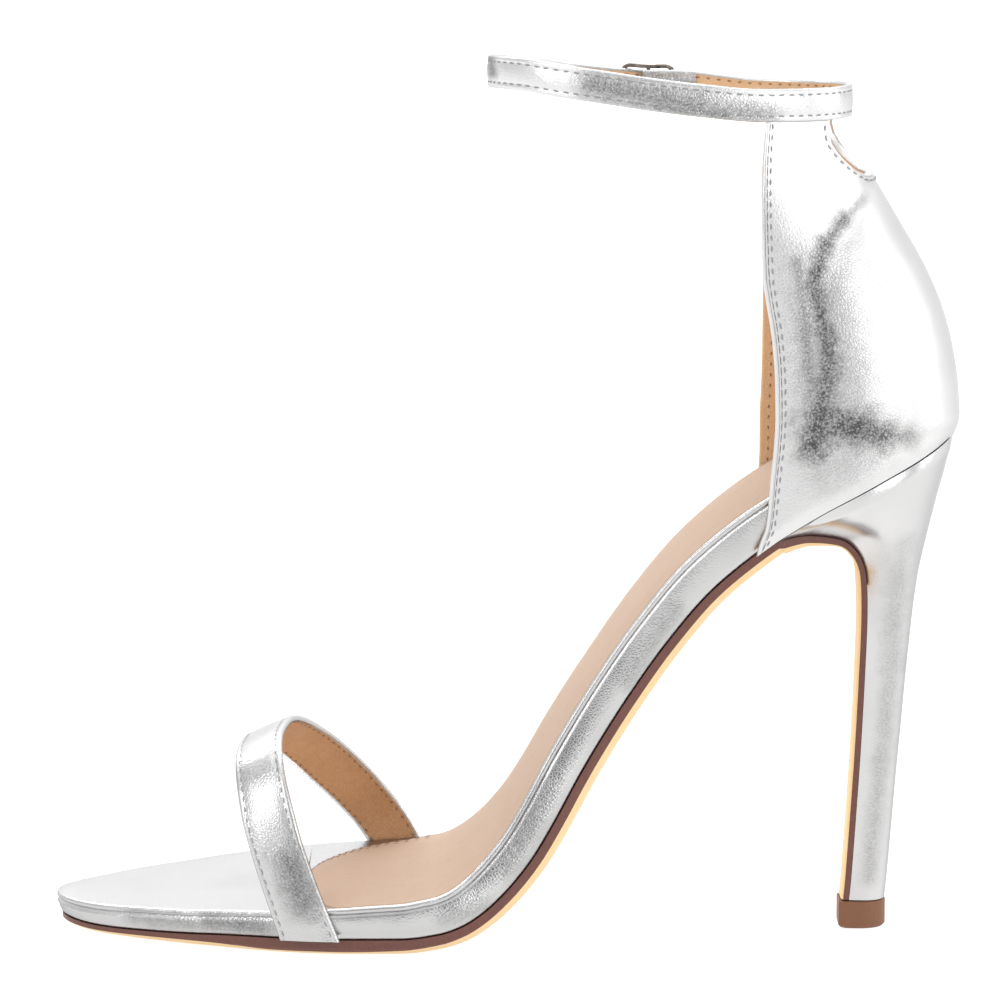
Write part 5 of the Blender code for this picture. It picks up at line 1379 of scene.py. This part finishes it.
def counter_point(share, height_share, top, depth):
    """Point of the counter: share from -1 medial front over the back to 1 lateral front."""
    hand = MEDIAL if share < 0 else LATERAL
    x = at_share(level_outline(WIDEST_HEIGHT, hand, -depth), abs(share))[0]
    for _ in range(3):
        low = feather_height(min(x, SOLE_LENGTH))
        x = at_share(level_outline(low, hand, -depth), abs(share))[0]
    z = lerp(low, top, height_share)
    tuck = COUNTER_TUCK * max(1 - (z - low) / TUCK_HEIGHT, 0.0) ** 2
    x, y = at_share(level_outline(z, hand, -depth - tuck), abs(share))
    return (x, hand * y, z)


# %% Soft folds
FOLDS = table(
    "start_x start_z end_x end_z width height",
    (0.1829, 0.1690, 0.1765, 0.1596, 0.0022, -0.00045),
    (0.1765, 0.1596, 0.1710, 0.1463, 0.0030, -0.00040),
    (0.1710, 0.1463, 0.1680, 0.1300, 0.0036, -0.00030),
    (0.1911, 0.1158, 0.2016, 0.1174, 0.0012, 0.00030),
    (0.1797, 0.1672, 0.1835, 0.1700, 0.0008, -0.00030),
    (0.1660, 0.1800, 0.1700, 0.1770, 0.0010, -0.00018),
    (0.1640, 0.1740, 0.1690, 0.1720, 0.0012, 0.00015),
)
RIPPLE_HEIGHT = 0.00007
RIPPLE_SCALE = 110
print(len(FOLDS["height"]), "folds in the counter")


def fold_height(x, z):
    """How far soft folds lift the counter's leather at a place in side view."""
    height = RIPPLE_HEIGHT * noise.noise(Vector((x, 0.3, z)) * RIPPLE_SCALE)
    for row in range(len(FOLDS["height"])):
        start = Vector((FOLDS["start_x"][row], FOLDS["start_z"][row]))
        along = Vector((FOLDS["end_x"][row], FOLDS["end_z"][row])) - start
        away = Vector((x, z)) - start
        share = min(max(away.dot(along) / along.length_squared, 0.0), 1.0)
        distance = (away - share * along).length
        height += FOLDS["height"][row] * math.exp(-(distance / FOLDS["width"][row]) ** 2)
    return height


# %% Wall of the counter
FRONT_GROOVE = 0.984        # share where the quarter's folded edge is sewn down, as a groove
GROOVE_SPREAD = 0.0015
SEAM_REACH = 0.00022        # how far the lower edge goes down to the heel's lip
EDGE_FOLD = {1.0: 0.35, 0.998: 0.12}       # how far both faces turn in at the front edge, in walls
COUNTER_COLUMNS, COUNTER_ROWS = 64, 60


def counter_shares(columns):
    """Shares from the medial to the lateral front edge, close together at the edges."""
    inner = [0.965 * i / columns for i in range(columns + 1)]
    groove = [FRONT_GROOVE - GROOVE_SPREAD, FRONT_GROOVE, FRONT_GROOVE + GROOVE_SPREAD]
    half = inner + [0.975, 0.981] + groove + [0.989, 0.994, 0.998, 1.0]
    return [-share for share in half[:0:-1]] + half


def build_counter(columns, rows):
    """Closed wall of the counter and quarters, silver outside and lined inside."""
    top = ANKLE_HEIGHT + 0.5 * STRAP_HEIGHT
    heights = [((i / rows) ** 1.25) for i in range(rows + 1)]
    rings = []
    for share in counter_shares(columns):
        outer = [Vector(counter_point(share, h, top, 0.0)) for h in heights]
        inner = [Vector(counter_point(share, h, top, COUNTER_WALL)) for h in heights]
        sunk = GROOVE_DEPTH if abs(share) == FRONT_GROOVE else 0.0
        turned = EDGE_FOLD.get(abs(share), 0.0)
        for k, (a, b) in enumerate(zip(outer, inner)):
            out = (a - b).normalized()
            lift = fold_height(a.x, a.z) * min(1.0, 8 * heights[k], 12 * (1 - abs(share)))
            outer[k] = a + out * (lift - sunk - turned * COUNTER_WALL)
            inner[k] = b + out * turned * COUNTER_WALL
        outer[0].z -= SEAM_REACH
        inner[0].z -= SEAM_REACH
        rings.append(outer + inner[::-1])
    slots = [SILVER] * (rows + 1) + [LINING] * rows + [SILVER]
    cells = bmesh.new()
    loops = [[cells.verts.new(point + TO_ROW) for point in ring] for ring in rings]
    count = len(loops[0])
    for first, second in zip(loops, loops[1:]):
        for k in range(count):
            following = (k + 1) % count
            face = cells.faces.new((first[k], first[following], second[following], second[k]))
            face.material_index = slots[k]
    for loop in (loops[0], loops[-1]):
        for k in range(count // 2 - 1):
            cells.faces.new((loop[k], loop[k + 1], loop[count - 2 - k], loop[count - 1 - k]))
    return finish_mesh("counter", cells, [silver_upper, quarter_lining], 50)


# %% Opening in the back
CORNER_STEPS = 12


def cutout_line(grow, top):
    """Outline of the back opening, as Y and Z, moved outwards by grow, up to a height."""
    low, radius = CUTOUT_FLOOR - grow, CUTOUT_RADIUS + grow
    corner = low + radius
    lean = CUTOUT_LEAN * (top - corner) / (ANKLE_HEIGHT + STRAP_HEIGHT - corner)
    medial, lateral = -CUTOUT_MEDIAL - grow, CUTOUT_LATERAL + grow
    outline = [(lean - CUTOUT_MEDIAL - grow, top)]
    for i in range(CORNER_STEPS + 1):
        angle = math.pi + 0.5 * math.pi * i / CORNER_STEPS
        outline.append((medial + radius * (1 + math.cos(angle)), low + radius * (1 + math.sin(angle))))
    for i in range(CORNER_STEPS + 1):
        angle = 1.5 * math.pi + 0.5 * math.pi * i / CORNER_STEPS
        outline.append((lateral - radius * (1 - math.cos(angle)), low + radius * (1 + math.sin(angle))))
    return outline + [(lateral - lean, top)]


# %% Cutting the counter
counter = build_counter(COUNTER_COLUMNS, COUNTER_ROWS)
opening = bmesh.new()
outline = cutout_line(0.0, ANKLE_HEIGHT + STRAP_HEIGHT)
start = ankle_centre() + 0.25 * ANKLE_LENGTH
for x in (start, SOLE_LENGTH + 0.01):
    for y, z in outline:
        opening.verts.new(Vector((x, y, z)) + TO_ROW)
opening.verts.ensure_lookup_table()
count = len(outline)
for k in range(count):
    following = (k + 1) % count
    opening.faces.new([opening.verts[j] for j in (k, following, count + following, count + k)])
opening.faces.new([opening.verts[k] for k in range(count)])
opening.faces.new([opening.verts[count + k] for k in range(count)])
scissors = finish_mesh("scissors", opening, [silver_upper], 50)
cut = counter.modifiers.new("opening", "BOOLEAN")
cut.object = scissors
cut.operation = "DIFFERENCE"
cut.solver = "EXACT"
graph = bpy.context.evaluated_depsgraph_get()
cut_mesh = bpy.data.meshes.new_from_object(counter.evaluated_get(graph))
counter.modifiers.remove(cut)
counter.data = cut_mesh
bpy.data.objects.remove(scissors)
counter.data.set_sharp_from_angle(angle=math.radians(50))
settle(counter, "heel_upper")


# %% Places along the opening's edge
def wall_place(y, z, depth):
    """Point of the counter's wall at a place in back view, and the direction outwards."""
    hand = MEDIAL if y < 0 else LATERAL
    points = level_outline(z, hand, -depth)
    for (near_x, near_y), (far_x, far_y) in zip(points, points[1:]):
        if near_y <= abs(y) <= far_y:
            x = lerp(near_x, far_x, (abs(y) - near_y) / (far_y - near_y))
            out = Vector((far_y - near_y, hand * (near_x - far_x), 0.0)).normalized()
            return Vector((x, y, z)), out
    return None


def edge_places(grow, depth, steps):
    """Places along the opening's edge, evenly filled in on its straight sides."""
    outline = cutout_line(grow, ANKLE_HEIGHT + 0.0006)
    corners = [Vector((y, z, 0.0)) for y, z in outline]
    filled = []
    for first, second in zip(corners, corners[1:]):
        pieces = max(1, round((second - first).length / steps))
        filled += [first.lerp(second, i / pieces) for i in range(pieces)]
    return [wall_place(p.x, p.y, depth) for p in filled + corners[-1:]]


# %% Binding of the opening
BINDING_HALF = 0.00045      # half width of the roll along the wall
BINDING_PROUD = 0.00012     # how far it stands out of the wall
EDGE_STEP = 0.0012
BINDING_SIDES = 12


def build_binding():
    """Rolled edge of silver leather round the opening."""
    places = edge_places(0.0, 0.5 * COUNTER_WALL, EDGE_STEP)
    last = len(places) - 1
    rings = []
    for i, (point, out) in enumerate(places):
        ahead = (places[min(i + 1, last)][0] - places[max(i - 1, 0)][0]).normalized()
        across_edge = ahead.cross(out).normalized()
        ring = []
        for k in range(BINDING_SIDES):
            angle = 2 * math.pi * k / BINDING_SIDES
            ring.append(point + out * (0.5 * COUNTER_WALL + BINDING_PROUD) * math.cos(angle)
                        + across_edge * BINDING_HALF * math.sin(angle))
        rings.append(ring)
    return loft("opening_binding", rings, [silver_upper])


settle(build_binding(), None)

# %% [markdown]
# ## Ankle strap
# The strap is one strip. Its short end is folded back round the buckle's bar, it runs round
# the ankle, and its long end goes through the frame and lies along the outside.


# %% Path of the ankle strap
def loop_point(angle, offset):
    """Point of the ankle loop's middle line in plan, moved outwards by the offset."""
    half_x = 0.5 * (ANKLE_LENGTH - STRAP_THICKNESS) + offset
    half_y = 0.5 * (ANKLE_WIDTH - STRAP_THICKNESS) + offset
    power = 2 / ANKLE_SQUARENESS
    c, s = math.cos(angle), math.sin(angle)
    return Vector((ankle_centre() + half_x * math.copysign(abs(c) ** power, c),
                   half_y * math.copysign(abs(s) ** power, s), 0.0))


def strap_middle_height(x, y):
    """Height of the strap's middle, which climbs to the front of the ankle."""
    forward = (ANKLE_BACK * SOLE_LENGTH - x) / ANKLE_LENGTH
    climb = monotone(ANKLE_STRAP["forward"], ANKLE_STRAP["climb"], forward) * STRAP_FRONT_LIFT
    cant = monotone(ANKLE_STRAP["forward"], ANKLE_STRAP["cant"], forward) * STRAP_CANT
    return ANKLE_HEIGHT + 0.5 * STRAP_HEIGHT + climb - cant * y


def bar_place():
    """The buckle's bar in plan, a little outside the short end of the strap."""
    side_y = 0.5 * (ANKLE_WIDTH - STRAP_THICKNESS)
    return Vector((ANKLE_BACK * SOLE_LENGTH - BUCKLE_PLACE * ANKLE_LENGTH, side_y + BAR_STEP, 0.0))


def wrap_radius():
    """Radius of the fold's middle line round the bar."""
    return 0.5 * BUCKLE_ROD + 0.5 * CLEARANCE + 0.5 * FOLD_THICKNESS


def over_bar():
    """How far the long end's middle line stands outside the bar."""
    return wrap_radius() + 0.5 * FOLD_THICKNESS + CLEARANCE + 0.5 * STRAP_THICKNESS


def long_end_offset(x):
    """How far the long end stands outside the loop's middle line at x."""
    bar = bar_place()
    side_y = 0.5 * (ANKLE_WIDTH - STRAP_THICKNESS)
    peak = bar.y - side_y + over_bar()
    beside = STRAP_THICKNESS + CLEARANCE
    run = (x - bar.x) / BUCKLE_LENGTH
    if run < 0:
        return peak * monotone([-1.35, -0.95, -0.50, -0.18, 0.0], [0.0, 0.08, 0.60, 0.94, 1.0], run)
    return lerp(beside, peak, monotone([0.0, 0.18, 0.50, 0.90], [1.0, 0.90, 0.25, 0.0], run))


# %% Middle line of the ankle strap
FOLD_STEPS = 4              # from the short end to the bar
BEND_PLACES = 8             # half a turn round the bar
JOIN_STEPS = 5              # from the bar to the ankle loop
LOOP_STEPS = 58
LOOP_TURN = 2.02 * math.pi
LONG_END = 0.7              # share of the loop after which the long end leaves it


def strap_path():
    """Middle line of the ankle strap in plan, and its thickness, from fold to free tip."""
    bar = bar_place()
    radius = wrap_radius()
    path = []
    layer = 0.5 * (FOLD_THICKNESS + CLEARANCE)
    inner_end = bar.x + FOLD_LENGTH
    for i in range(FOLD_STEPS):
        share = i / FOLD_STEPS
        x = lerp(inner_end, bar.x + FOLD_OPENING, share)
        path.append((Vector((x, bar.y - lerp(layer, radius, share ** 3) - BAR_STEP * (1 - share), 0.0)),
                     FOLD_THICKNESS))
    for i in range(BEND_PLACES + 1):
        angle = math.radians(-90 - 180 * i / BEND_PLACES)
        path.append((bar + Vector((radius * math.cos(angle), radius * math.sin(angle), 0.0)),
                     FOLD_THICKNESS))
    reach = (inner_end - ankle_centre()) / (0.5 * ANKLE_LENGTH)
    start = 0.5 * math.pi - math.asin(min(reach, 1.0))
    side_y = loop_point(start, 0.0).y
    for i in range(1, JOIN_STEPS):
        share = i / JOIN_STEPS
        x = lerp(bar.x + 0.5 * FOLD_THICKNESS - 0.5 * CLEARANCE, inner_end, share)
        path.append((Vector((x, lerp(bar.y + radius, side_y, share * share * (3 - 2 * share)), 0.0)),
                     lerp(FOLD_THICKNESS, STRAP_THICKNESS, share)))
    tail_x = bar.x + TAIL_LENGTH
    for i in range(LOOP_STEPS + 1):
        angle = start - LOOP_TURN * i / LOOP_STEPS
        point = loop_point(angle, 0.0)
        if i > LONG_END * LOOP_STEPS and point.y > 0:
            offset = long_end_offset(point.x)
            point = loop_point(angle, offset)
            if point.x > bar.x - TAIL_START:
                break
        path.append((point, STRAP_THICKNESS))
    x = path[-1][0].x + 0.8 * TAIL_STEP
    while x < tail_x:
        c = min(max((x - ankle_centre()) / (0.5 * ANKLE_LENGTH), -1.0), 1.0)
        angle = math.acos(math.copysign(abs(c) ** (0.5 * ANKLE_SQUARENESS), c))
        path.append((loop_point(angle, long_end_offset(x)), STRAP_THICKNESS))
        x += TAIL_STEP
    return path


# %% Ankle strap
TIP_SHARES = (0.34, 0.66, 0.86, 0.97, 1.0)      # half height at the free tip, as it rounds
FOLD_PLACES = 20            # first places of the path, where it turns round the bar
LEAST_STEP = 0.0012         # places nearer than this would kink the curve
STRAP_STEPS = 3
STRAP_FOLD = 0.0006         # rounding of the strap's folded edges


def ankle_frames():
    """Middle point, outward direction, half height and thickness along the strap."""
    whole = strap_path()
    path = whole[:FOLD_PLACES]
    for place in whole[FOLD_PLACES:]:
        if (place[0] - path[-1][0]).length > LEAST_STEP:
            path.append(place)
    points = smooth_path([point for point, _ in path], STRAP_STEPS)
    last = len(points) - 1
    frames = []
    for i, point in enumerate(points):
        place = i / STRAP_STEPS
        k = min(int(place), len(path) - 2)
        thickness = lerp(path[k][1], path[k + 1][1], place - k)
        ahead = points[min(i + 1, last)] - points[max(i - 1, 0)]
        out = Vector((-ahead.y, ahead.x, 0.0)).normalized()
        half = 0.5 * STRAP_HEIGHT
        from_tip = (last - i) / STRAP_STEPS
        if from_tip < len(TIP_SHARES) - 1:
            k = int(from_tip)
            half *= lerp(TIP_SHARES[k], TIP_SHARES[k + 1], from_tip - k)
        middle = Vector((point.x, point.y, strap_middle_height(point.x, point.y)))
        frames.append((middle, out, half, thickness))
    return frames


ankle_line = ankle_frames()
ankle_rings = []
for middle, out, half, thickness in ankle_line:
    profile = strip_profile(2 * half, thickness, min(STRAP_FOLD, 0.3 * half))
    ankle_rings.append([middle + out * (0.5 * thickness - depth) + Vector((0, 0, run - half))
                        for run, depth in profile])
ankle_strap = loft("ankle_strap", ankle_rings, [silver_ankle, quarter_lining], STRIP_SLOTS, sharp=60)
settle(ankle_strap, None)

# %% [markdown]
# ## Buckle
# The buckle and its prong are cast metal, and their CAD solids have the right shape already.
# They get the dark nickel finish.

# %% Buckle
for node in ("buckle_frame", "buckle_prong"):
    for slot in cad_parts[node].material_slots:
        slot.material = nickel
print("buckle frame and prong in", nickel.name)

# %% [markdown]
# ## Stitching
# Each seam is a row of short dashes, 2.4 mm apart, a little inside the folded edge. A row is
# drawn as a line of points that carry the surface's direction, and one Geometry Nodes tree
# turns any such line into thread: it resamples the line, puts a dash on each point, turns it
# along the line and lays it flat on the surface.


# %% Stitch tree
def stitch_tree():
    """Geometry Nodes tree: dashes of thread along a line, lying on the surface."""
    tree = bpy.data.node_groups.new("stitch_row", "GeometryNodeTree")
    tree.interface.new_socket("Line", in_out="INPUT", socket_type="NodeSocketGeometry")
    for label, kind, value in (("Pitch", "NodeSocketFloat", 0.0024), ("Dash", "NodeSocketFloat", 0.0014),
                               ("Width", "NodeSocketFloat", 0.0005), ("Height", "NodeSocketFloat", 0.00022),
                               ("Wander", "NodeSocketFloat", 0.12), ("Seed", "NodeSocketInt", 3),
                               ("Thread", "NodeSocketMaterial", None)):
        socket = tree.interface.new_socket(label, in_out="INPUT", socket_type=kind)
        if value is not None:
            socket.default_value = value
    tree.interface.new_socket("Stitches", in_out="OUTPUT", socket_type="NodeSocketGeometry")
    given, result = tree.nodes.new("NodeGroupInput"), tree.nodes.new("NodeGroupOutput")
    link = tree.links.new
    to_curve = tree.nodes.new("GeometryNodeMeshToCurve")
    link(given.outputs["Line"], to_curve.inputs["Mesh"])
    points = tree.nodes.new("GeometryNodeCurveToPoints")
    points.mode = "LENGTH"
    link(to_curve.outputs["Curve"], points.inputs["Curve"])
    link(given.outputs["Pitch"], points.inputs["Length"])
    along = tree.nodes.new("FunctionNodeAlignRotationToVector")
    along.axis = "X"
    link(points.outputs["Tangent"], along.inputs["Vector"])
    facing = tree.nodes.new("GeometryNodeInputNamedAttribute")
    facing.data_type = "FLOAT_VECTOR"
    facing.inputs["Name"].default_value = "facing"
    flat = tree.nodes.new("FunctionNodeAlignRotationToVector")
    flat.axis = "Z"
    flat.pivot_axis = "X"
    link(along.outputs["Rotation"], flat.inputs["Rotation"])
    link(facing.outputs["Attribute"], flat.inputs["Vector"])
    ball = tree.nodes.new("GeometryNodeMeshUVSphere")
    ball.inputs["Segments"].default_value = 8
    ball.inputs["Rings"].default_value = 6
    ball.inputs["Radius"].default_value = 0.5
    size = tree.nodes.new("ShaderNodeCombineXYZ")
    for label, axis in (("Dash", "X"), ("Width", "Y"), ("Height", "Z")):
        link(given.outputs[label], size.inputs[axis])
    shaped = tree.nodes.new("GeometryNodeTransform")
    link(ball.outputs["Mesh"], shaped.inputs["Geometry"])
    link(size.outputs["Vector"], shaped.inputs["Scale"])
    chance = tree.nodes.new("FunctionNodeRandomValue")
    chance.data_type = "FLOAT"
    link(given.outputs["Seed"], chance.inputs["Seed"])
    floats = [s for s in chance.inputs if s.type == "VALUE"]
    floats[0].default_value, floats[1].default_value = -1.0, 1.0
    turn = tree.nodes.new("ShaderNodeMath")
    turn.operation = "MULTIPLY"
    link([s for s in chance.outputs if s.type == "VALUE"][0], turn.inputs[0])
    link(given.outputs["Wander"], turn.inputs[1])
    yaw = tree.nodes.new("ShaderNodeCombineXYZ")
    link(turn.outputs[0], yaw.inputs["Z"])
    twist = tree.nodes.new("FunctionNodeEulerToRotation")
    link(yaw.outputs["Vector"], twist.inputs["Euler"])
    rotate = tree.nodes.new("FunctionNodeRotateRotation")
    rotate.rotation_space = "LOCAL"
    link(flat.outputs["Rotation"], rotate.inputs["Rotation"])
    link(twist.outputs["Rotation"], rotate.inputs["Rotate By"])
    place = tree.nodes.new("GeometryNodeInstanceOnPoints")
    link(points.outputs["Points"], place.inputs["Points"])
    link(shaped.outputs["Geometry"], place.inputs["Instance"])
    link(rotate.outputs["Rotation"], place.inputs["Rotation"])
    real = tree.nodes.new("GeometryNodeRealizeInstances")
    link(place.outputs["Instances"], real.inputs["Geometry"])
    smooth = tree.nodes.new("GeometryNodeSetShadeSmooth")
    link(real.outputs["Geometry"], smooth.inputs["Geometry"])
    dress = tree.nodes.new("GeometryNodeSetMaterial")
    link(smooth.outputs["Geometry"], dress.inputs["Geometry"])
    link(given.outputs["Thread"], dress.inputs["Material"])
    link(dress.outputs["Geometry"], result.inputs["Stitches"])
    return tree


stitches_tree = stitch_tree()
print("stitch tree with", len(stitches_tree.nodes), "nodes")


# %% Sewing rows of stitches
THREAD_PROUD = 0.00006
LINING_DASH = 0.0009
LINING_WIDTH = 0.0004


def sew(name, lines, thread_finish, slot, seed, **sizes):
    """One mesh of stitches along several lines of (point, facing) pairs."""
    mesh = bpy.data.meshes.new(name)
    points, facings, edges = [], [], []
    for line in lines:
        first = len(points)
        points += [Vector(point) + TO_ROW for point, _ in line]
        facings += [tuple(facing) for _, facing in line]
        edges += [(first + k, first + k + 1) for k in range(len(line) - 1)]
    mesh.from_pydata(points, edges, [])
    facing = mesh.attributes.new("facing", "FLOAT_VECTOR", "POINT")
    facing.data.foreach_set("vector", [c for vector in facings for c in vector])
    row = bpy.data.objects.new(name + "_line", mesh)
    bpy.context.scene.collection.objects.link(row)
    sewing = row.modifiers.new("sewing", "NODES")
    sewing.node_group = stitches_tree
    sockets = {s.name: s.identifier for s in stitches_tree.interface.items_tree if s.in_out == "INPUT"}
    sewing[sockets["Thread"]] = thread_finish
    sewing[sockets["Seed"]] = seed
    for label, value in sizes.items():
        sewing[sockets[label]] = value
    graph = bpy.context.evaluated_depsgraph_get()
    made = bpy.data.meshes.new_from_object(row.evaluated_get(graph))
    bpy.data.objects.remove(row)
    piece = bpy.data.objects.new(name, made)
    bpy.context.scene.collection.objects.link(piece)
    settle(piece, None)
    print(name, len(made.polygons), "faces")
    return piece


# %% Rows on the toe strap
toe_outside, toe_inside = [], []
for at_front in (True, False):
    outer, inner = [], []
    for a, b, inward in toe_frames[2:-2]:
        over = (b - a).normalized()
        edge = a + over * STITCH_INSET if at_front else b - over * STITCH_INSET
        outer.append((edge + inward * (GROOVE_DEPTH - THREAD_PROUD), -inward))
        inner.append((edge + inward * (STRAP_WALL - THREAD_PROUD), inward))
    toe_outside.append(outer)
    toe_inside.append(inner)
sew("toe_strap_stitches", toe_outside, thread, "silver_strap", 5, Width=0.00042)
sew("toe_strap_lining_stitches", toe_inside, thread_tan, "silver_strap", 6, Dash=LINING_DASH,
    Width=LINING_WIDTH)

# %% Rows on the ankle strap
ankle_outside, ankle_inside = [], []
AFTER_FOLD, BEFORE_TIP = 45, -14
for sign in (-1, 1):
    outer, inner = [], []
    for middle, out, half, thickness in ankle_line[AFTER_FOLD:BEFORE_TIP]:
        offset = Vector((0.0, 0.0, sign * (half - STITCH_INSET)))
        outer.append((middle + out * (0.5 * thickness - GROOVE_DEPTH + THREAD_PROUD) + offset, out))
        inner.append((middle - out * (0.5 * thickness - THREAD_PROUD) + offset, -out))
    ankle_outside.append(outer)
    ankle_inside.append(inner)
sew("ankle_strap_stitches", ankle_outside, thread, "silver_upper", 7)
sew("ankle_strap_lining_stitches", ankle_inside, thread_tan, "silver_upper", 8, Dash=LINING_DASH,
    Width=LINING_WIDTH)


# %% Rows on the quarters
SEAM = (0.032, 0.050)       # shares from the front edge to the stitches, at the foot and the top
FOLD = (0.021, 0.031)       # and to the line where the folded edge ends, drawn as a painted shadow line
ROW_FOOT, ROW_TOP = 0.012, 0.955
ROW_STEPS = 60
ROW_PROUD = 0.00003


def quarter_row(hand, distance, outside):
    """Line of stitches up a quarter's front edge."""
    top = ANKLE_HEIGHT + 0.5 * STRAP_HEIGHT
    line = []
    for i in range(ROW_STEPS + 1):
        h = lerp(ROW_FOOT, ROW_TOP, i / ROW_STEPS)
        share = hand * (1.0 - lerp(*distance, h))
        depth = 0.0 if outside else COUNTER_WALL
        point = Vector(counter_point(share, h, top, depth))
        other = Vector(counter_point(share, h, top, COUNTER_WALL - depth))
        facing = (point - other).normalized()
        line.append((point + facing * ROW_PROUD, facing))
    return line


hands = (MEDIAL, LATERAL)
sew("quarter_stitches", [quarter_row(hand, SEAM, True) for hand in hands], thread, "silver_upper", 9)
# Painted shadow: a thin dark strip where each folded edge ends, not thread.
sew("quarter_fold_shadow_lines", [quarter_row(hand, FOLD, True) for hand in hands], painted_fold_shadow,
    "silver_upper", 13, Pitch=0.0024, Dash=0.0024, Width=0.00022, Height=0.00008, Wander=0.0)
sew("quarter_lining_stitches", [quarter_row(hand, SEAM, False) for hand in hands],
    thread_tan, "silver_upper", 10, Dash=LINING_DASH, Width=LINING_WIDTH)

# %% Row round the opening
OPENING_STITCH = 0.00092    # stitches from the opening's edge, in back view
opening_places = edge_places(OPENING_STITCH, 0.0, EDGE_STEP)
opening_row = [(point + out * THREAD_PROUD, out) for point, out in opening_places]
sew("opening_stitches", [opening_row], thread, "silver_upper", 11, Pitch=0.0022)

# %% Rows on the sock liner's front
SOCK_ROWS = (0.0020, 0.0046)        # distance of the two rows from the sock's edge
SOCK_STEPS = 24
SOCK_ROW_PROUD = 0.0002


def sock_front_row(inset):
    """Line of stitches along the sock's round front edge."""
    reach = SOCK_NOSE_LATERAL * SOLE_LENGTH - inset
    front = SOCK_FRONT * SOLE_LENGTH + inset
    places = stations(front, front + reach, SOCK_STEPS, True, False)[1:-1]
    line = []
    for px, py in [sock_point(x, LATERAL, inset) for x in places]:
        level = footbed_depth(px) + SOCK_PROUD + SOCK_ROW_PROUD
        line.append((Vector(on_sole(px, py, level)), Vector((0, 0, 1))))
    return line


sew("sock_stitches", [sock_front_row(inset) for inset in SOCK_ROWS], thread_tan, "tan_liner", 12,
    Dash=0.0011, Width=LINING_WIDTH)

# %% [markdown]
# ## The end
# The dressed sandal must fill the same box as the solids.

# %% Bringing the scene up to date
bpy.context.view_layer.update()
